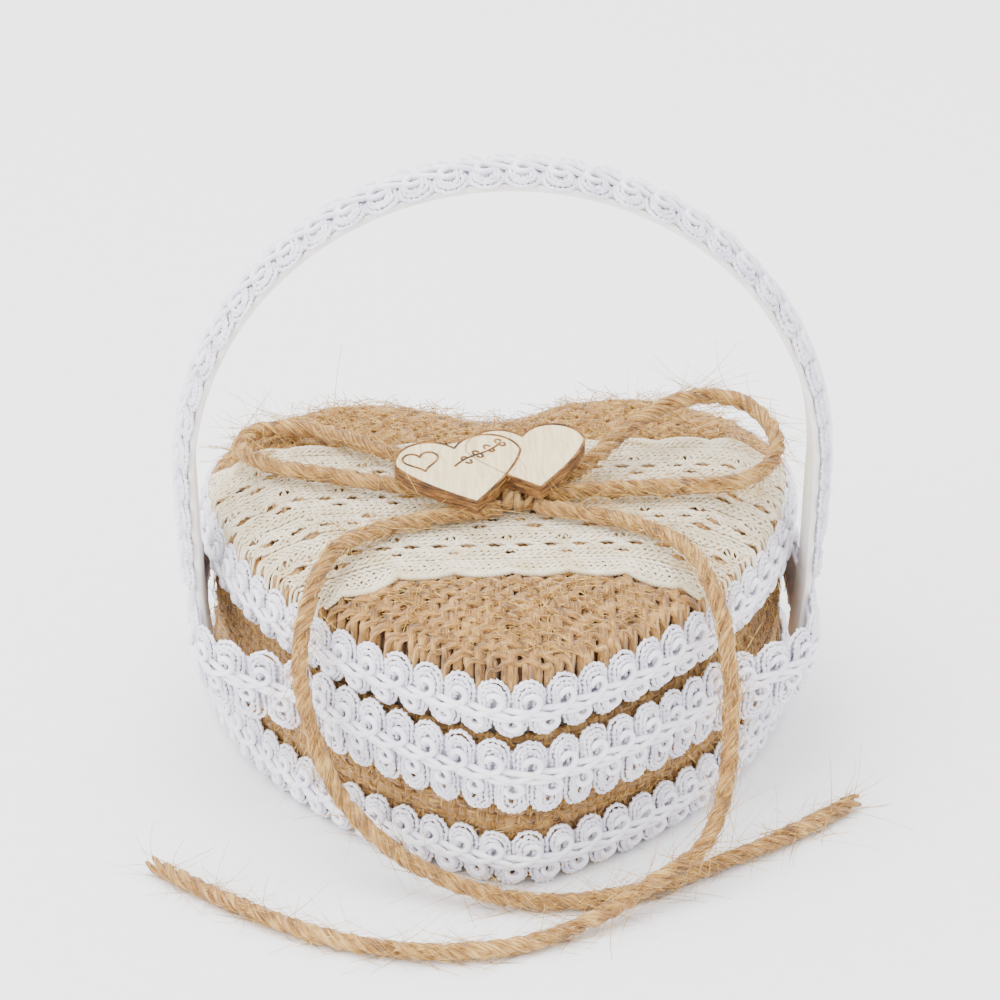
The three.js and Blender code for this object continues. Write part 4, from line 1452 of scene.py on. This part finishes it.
def wooden_heart(name, width, x, y, turn, marks, lift=0.0):
    outline = wood_outline(width)
    rings = [np.column_stack([shrink(outline, d * MM), np.full(len(outline), z * MM)])
             for d, z in SIDE_RINGS]
    count = len(outline)
    index, quads = stacked_rings(len(rings), count)
    points = np.concatenate(rings)
    charred = np.zeros((len(rings) - 1, count), int)
    charred[list(CHARRED_BANDS)] = 1
    piece = object_from(name, points, quads, [index[0][::-1], index[-1]],
                        smooth=False)
    piece.data.materials.append(BASSWOOD)
    piece.data.materials.append(CHAR)
    choice = np.concatenate([charred.ravel(), [0, 0]]).astype(np.int32)
    piece.data.polygons.foreach_set("material_index", choice)
    rim = shrink(outline, 0.12 * MM) / MM
    lines = []
    for mark in [*marks, np.concatenate([rim, rim[:1]])]:
        line = smooth_route(np.column_stack([np.array(mark) * MM,
                                             np.full(len(mark), WOOD_THICKNESS)]), 0.15 * MM)
        facing = np.zeros((1, *line.shape)) + np.array([0, 0, 1.0])
        turns = np.arange(8) * TAU / 8
        section = 0.2 * MM * np.abs(np.cos(turns)) + 0.04 * MM * np.abs(np.sin(turns))
        lines.append(tubes(line[None], facing, np.broadcast_to(section, (1, len(line), 8)),
                           sides=8))
    burnt = object_from(name + "_engraving", *joined(lines))
    burnt.data.materials.append(CHAR)
    where = (WOOD_PLACE @ Matrix.Translation((x * MM, y * MM, lift))
             @ Matrix.Rotation(turn, 4, "Z"))
    for part in (piece, burnt):
        part.data.transform(where)
        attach(part, "lid")
    return piece


def small_heart(x, y, size):
    """The centre line of an engraved heart, as (x, y) in mm."""
    turn = np.linspace(0, TAU, 25)
    across = 16 * np.sin(turn) ** 3
    up = 13 * np.cos(turn) - 5 * np.cos(2 * turn) - 2 * np.cos(3 * turn) - np.cos(4 * turn)
    return np.column_stack([x + size * across / 32, y + size * up / 32])


def leafy_line(x, y, length, turn):
    """A stem with pairs of small leaves, engraved along a rising line."""
    stem = np.column_stack([np.linspace(-0.5, 0.5, 15) * length,
                            0.35 * np.sin(np.linspace(0, 2 * math.pi, 15))])
    marks = [stem]
    for share in (-0.32, -0.08, 0.16, 0.4):
        for up in (1, -1):
            leaf = np.linspace(0, math.pi, 9)
            across = share * length + 0.9 * (1 - np.cos(leaf)) / 2 + 0.3
            marks.append(np.column_stack([across, up * (0.25 + 0.75 * np.sin(leaf))]))
    spin = np.array([[math.cos(turn), math.sin(turn)], [-math.sin(turn), math.cos(turn)]])
    return [mark @ spin + np.array([x, y]) for mark in marks]


right = wooden_heart("wooden_heart_right", 18.5 * MM, 3.4, 7.4, 0.15, [])
left = wooden_heart("wooden_heart_left", 19.5 * MM, -6.9, 4.4, 0.2,
                    [small_heart(-5.6, 0.6, 5.4)] + leafy_line(3.1, 0.3, 9.5, 0.5), 0.08 * MM)
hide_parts("wooden_hearts")
print("wooden hearts done")

# %% [markdown]
# ## The hinge tape
# A strip of woven cotton is glued across the backs of both lobes, half on the box
# and half on the lid. It is the hinge. Its weave
# is a herringbone, and between the lobes nothing holds it out, so it dips there.

# %% Weave the hinge tape
tape_low, tape_high = (Vector(c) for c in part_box("hinge_tape_body"))
TAPE_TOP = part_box("hinge_tape_lid")[1][2] - 1.2 * MM
TAPE_COTTON = pressed_material("white cotton tape", "#E6E4EA", "#F8F7FA", 1500.0, 0.1 * MM, 0.8)
HINGE_HEIGHT = 27.4 * MM
THREAD_STEP = 0.3 * MM
TWILL_PITCH = 1.3 * MM
TWILL_RELIEF = 0.2 * MM
DIP_DEPTH = 1.7 * MM
DIP_HALF_WIDTH = 7.5 * MM
CREASE_LENGTH = 1.6 * MM
columns = np.arange(tape_low.x, tape_high.x + 0.01 * MM, THREAD_STEP)
rows = np.arange(tape_low.z, TAPE_TOP + 0.01 * MM, THREAD_STEP)
across, up = np.meshgrid(columns, rows, indexing="ij")
slant = np.abs(up - HINGE_HEIGHT)
twill = TWILL_RELIEF * (0.5 + 0.5 * np.sin(TAU * (across + slant) / TWILL_PITCH))
creases = 1 + 0.25 * np.sin(up / CREASE_LENGTH)
dip = DIP_DEPTH * np.exp(-(across / DIP_HALF_WIDTH) ** 2) * creases
outer_face = np.stack([across, tape_high.y - twill - dip, up], -1).reshape(-1, 3)
inner_face = np.stack([across, tape_low.y + 0.1 * MM - dip, up], -1).reshape(-1, 3)
index = np.arange(across.size).reshape(across.shape)
squares = np.stack([index[:-1, :-1], index[:-1, 1:], index[1:, 1:], index[1:, :-1]],
                   -1).reshape(-1, 4)
rim = np.concatenate([index[:-1, 0], index[-1, :-1], index[:0:-1, -1], index[0, :0:-1]])
rim_after = np.roll(rim, -1)
lower_rim = rim + across.size
sides = np.stack([rim, rim_after, np.roll(lower_rim, -1), lower_rim], -1)
tape = object_from("cotton_hinge_tape", np.concatenate([outer_face, inner_face]),
                   np.concatenate([squares, squares[:, ::-1] + across.size, sides[:, ::-1]]))
tape.data.materials.append(TAPE_COTTON)
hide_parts("hinge_tape_body", "hinge_tape_lid")
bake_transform(tape)

# %% [markdown]
# ## Stage
# A white sweep and broad soft light from above and the left, as in a light tent.

# %% Floor, world and lights
FLOOR = pressed_material("matt white sweep", "#F4F4F4", "#F8F8F8", 300.0, 0.02 * MM, 0.9)
bpy.ops.mesh.primitive_plane_add(size=8, location=(0, 0, -0.02 * MM))
floor = bpy.context.object
floor.name = "floor"
floor.data.materials.append(FLOOR)

world = bpy.data.worlds.new("tent")
world.use_nodes = True
world.node_tree.nodes["Background"].inputs["Color"].default_value = linear("#FBFBFF")
world.node_tree.nodes["Background"].inputs["Strength"].default_value = 2.55
bpy.context.scene.world = world

for name, place, size, watts in (
        ("soft box above", (-0.15, 0.1, 0.9), 0.9, 13.0),
        ("soft box left", (-0.8, -0.5, 0.5), 0.6, 6.0)):
    lamp_data = bpy.data.lights.new(name, "AREA")
    lamp_data.energy = watts
    lamp_data.size = size
    lamp = bpy.data.objects.new(name, lamp_data)
    lamp.location = place
    lamp.rotation_euler = (-Vector(place)).to_track_quat("-Z", "Y").to_euler()
    bpy.context.scene.collection.objects.link(lamp)
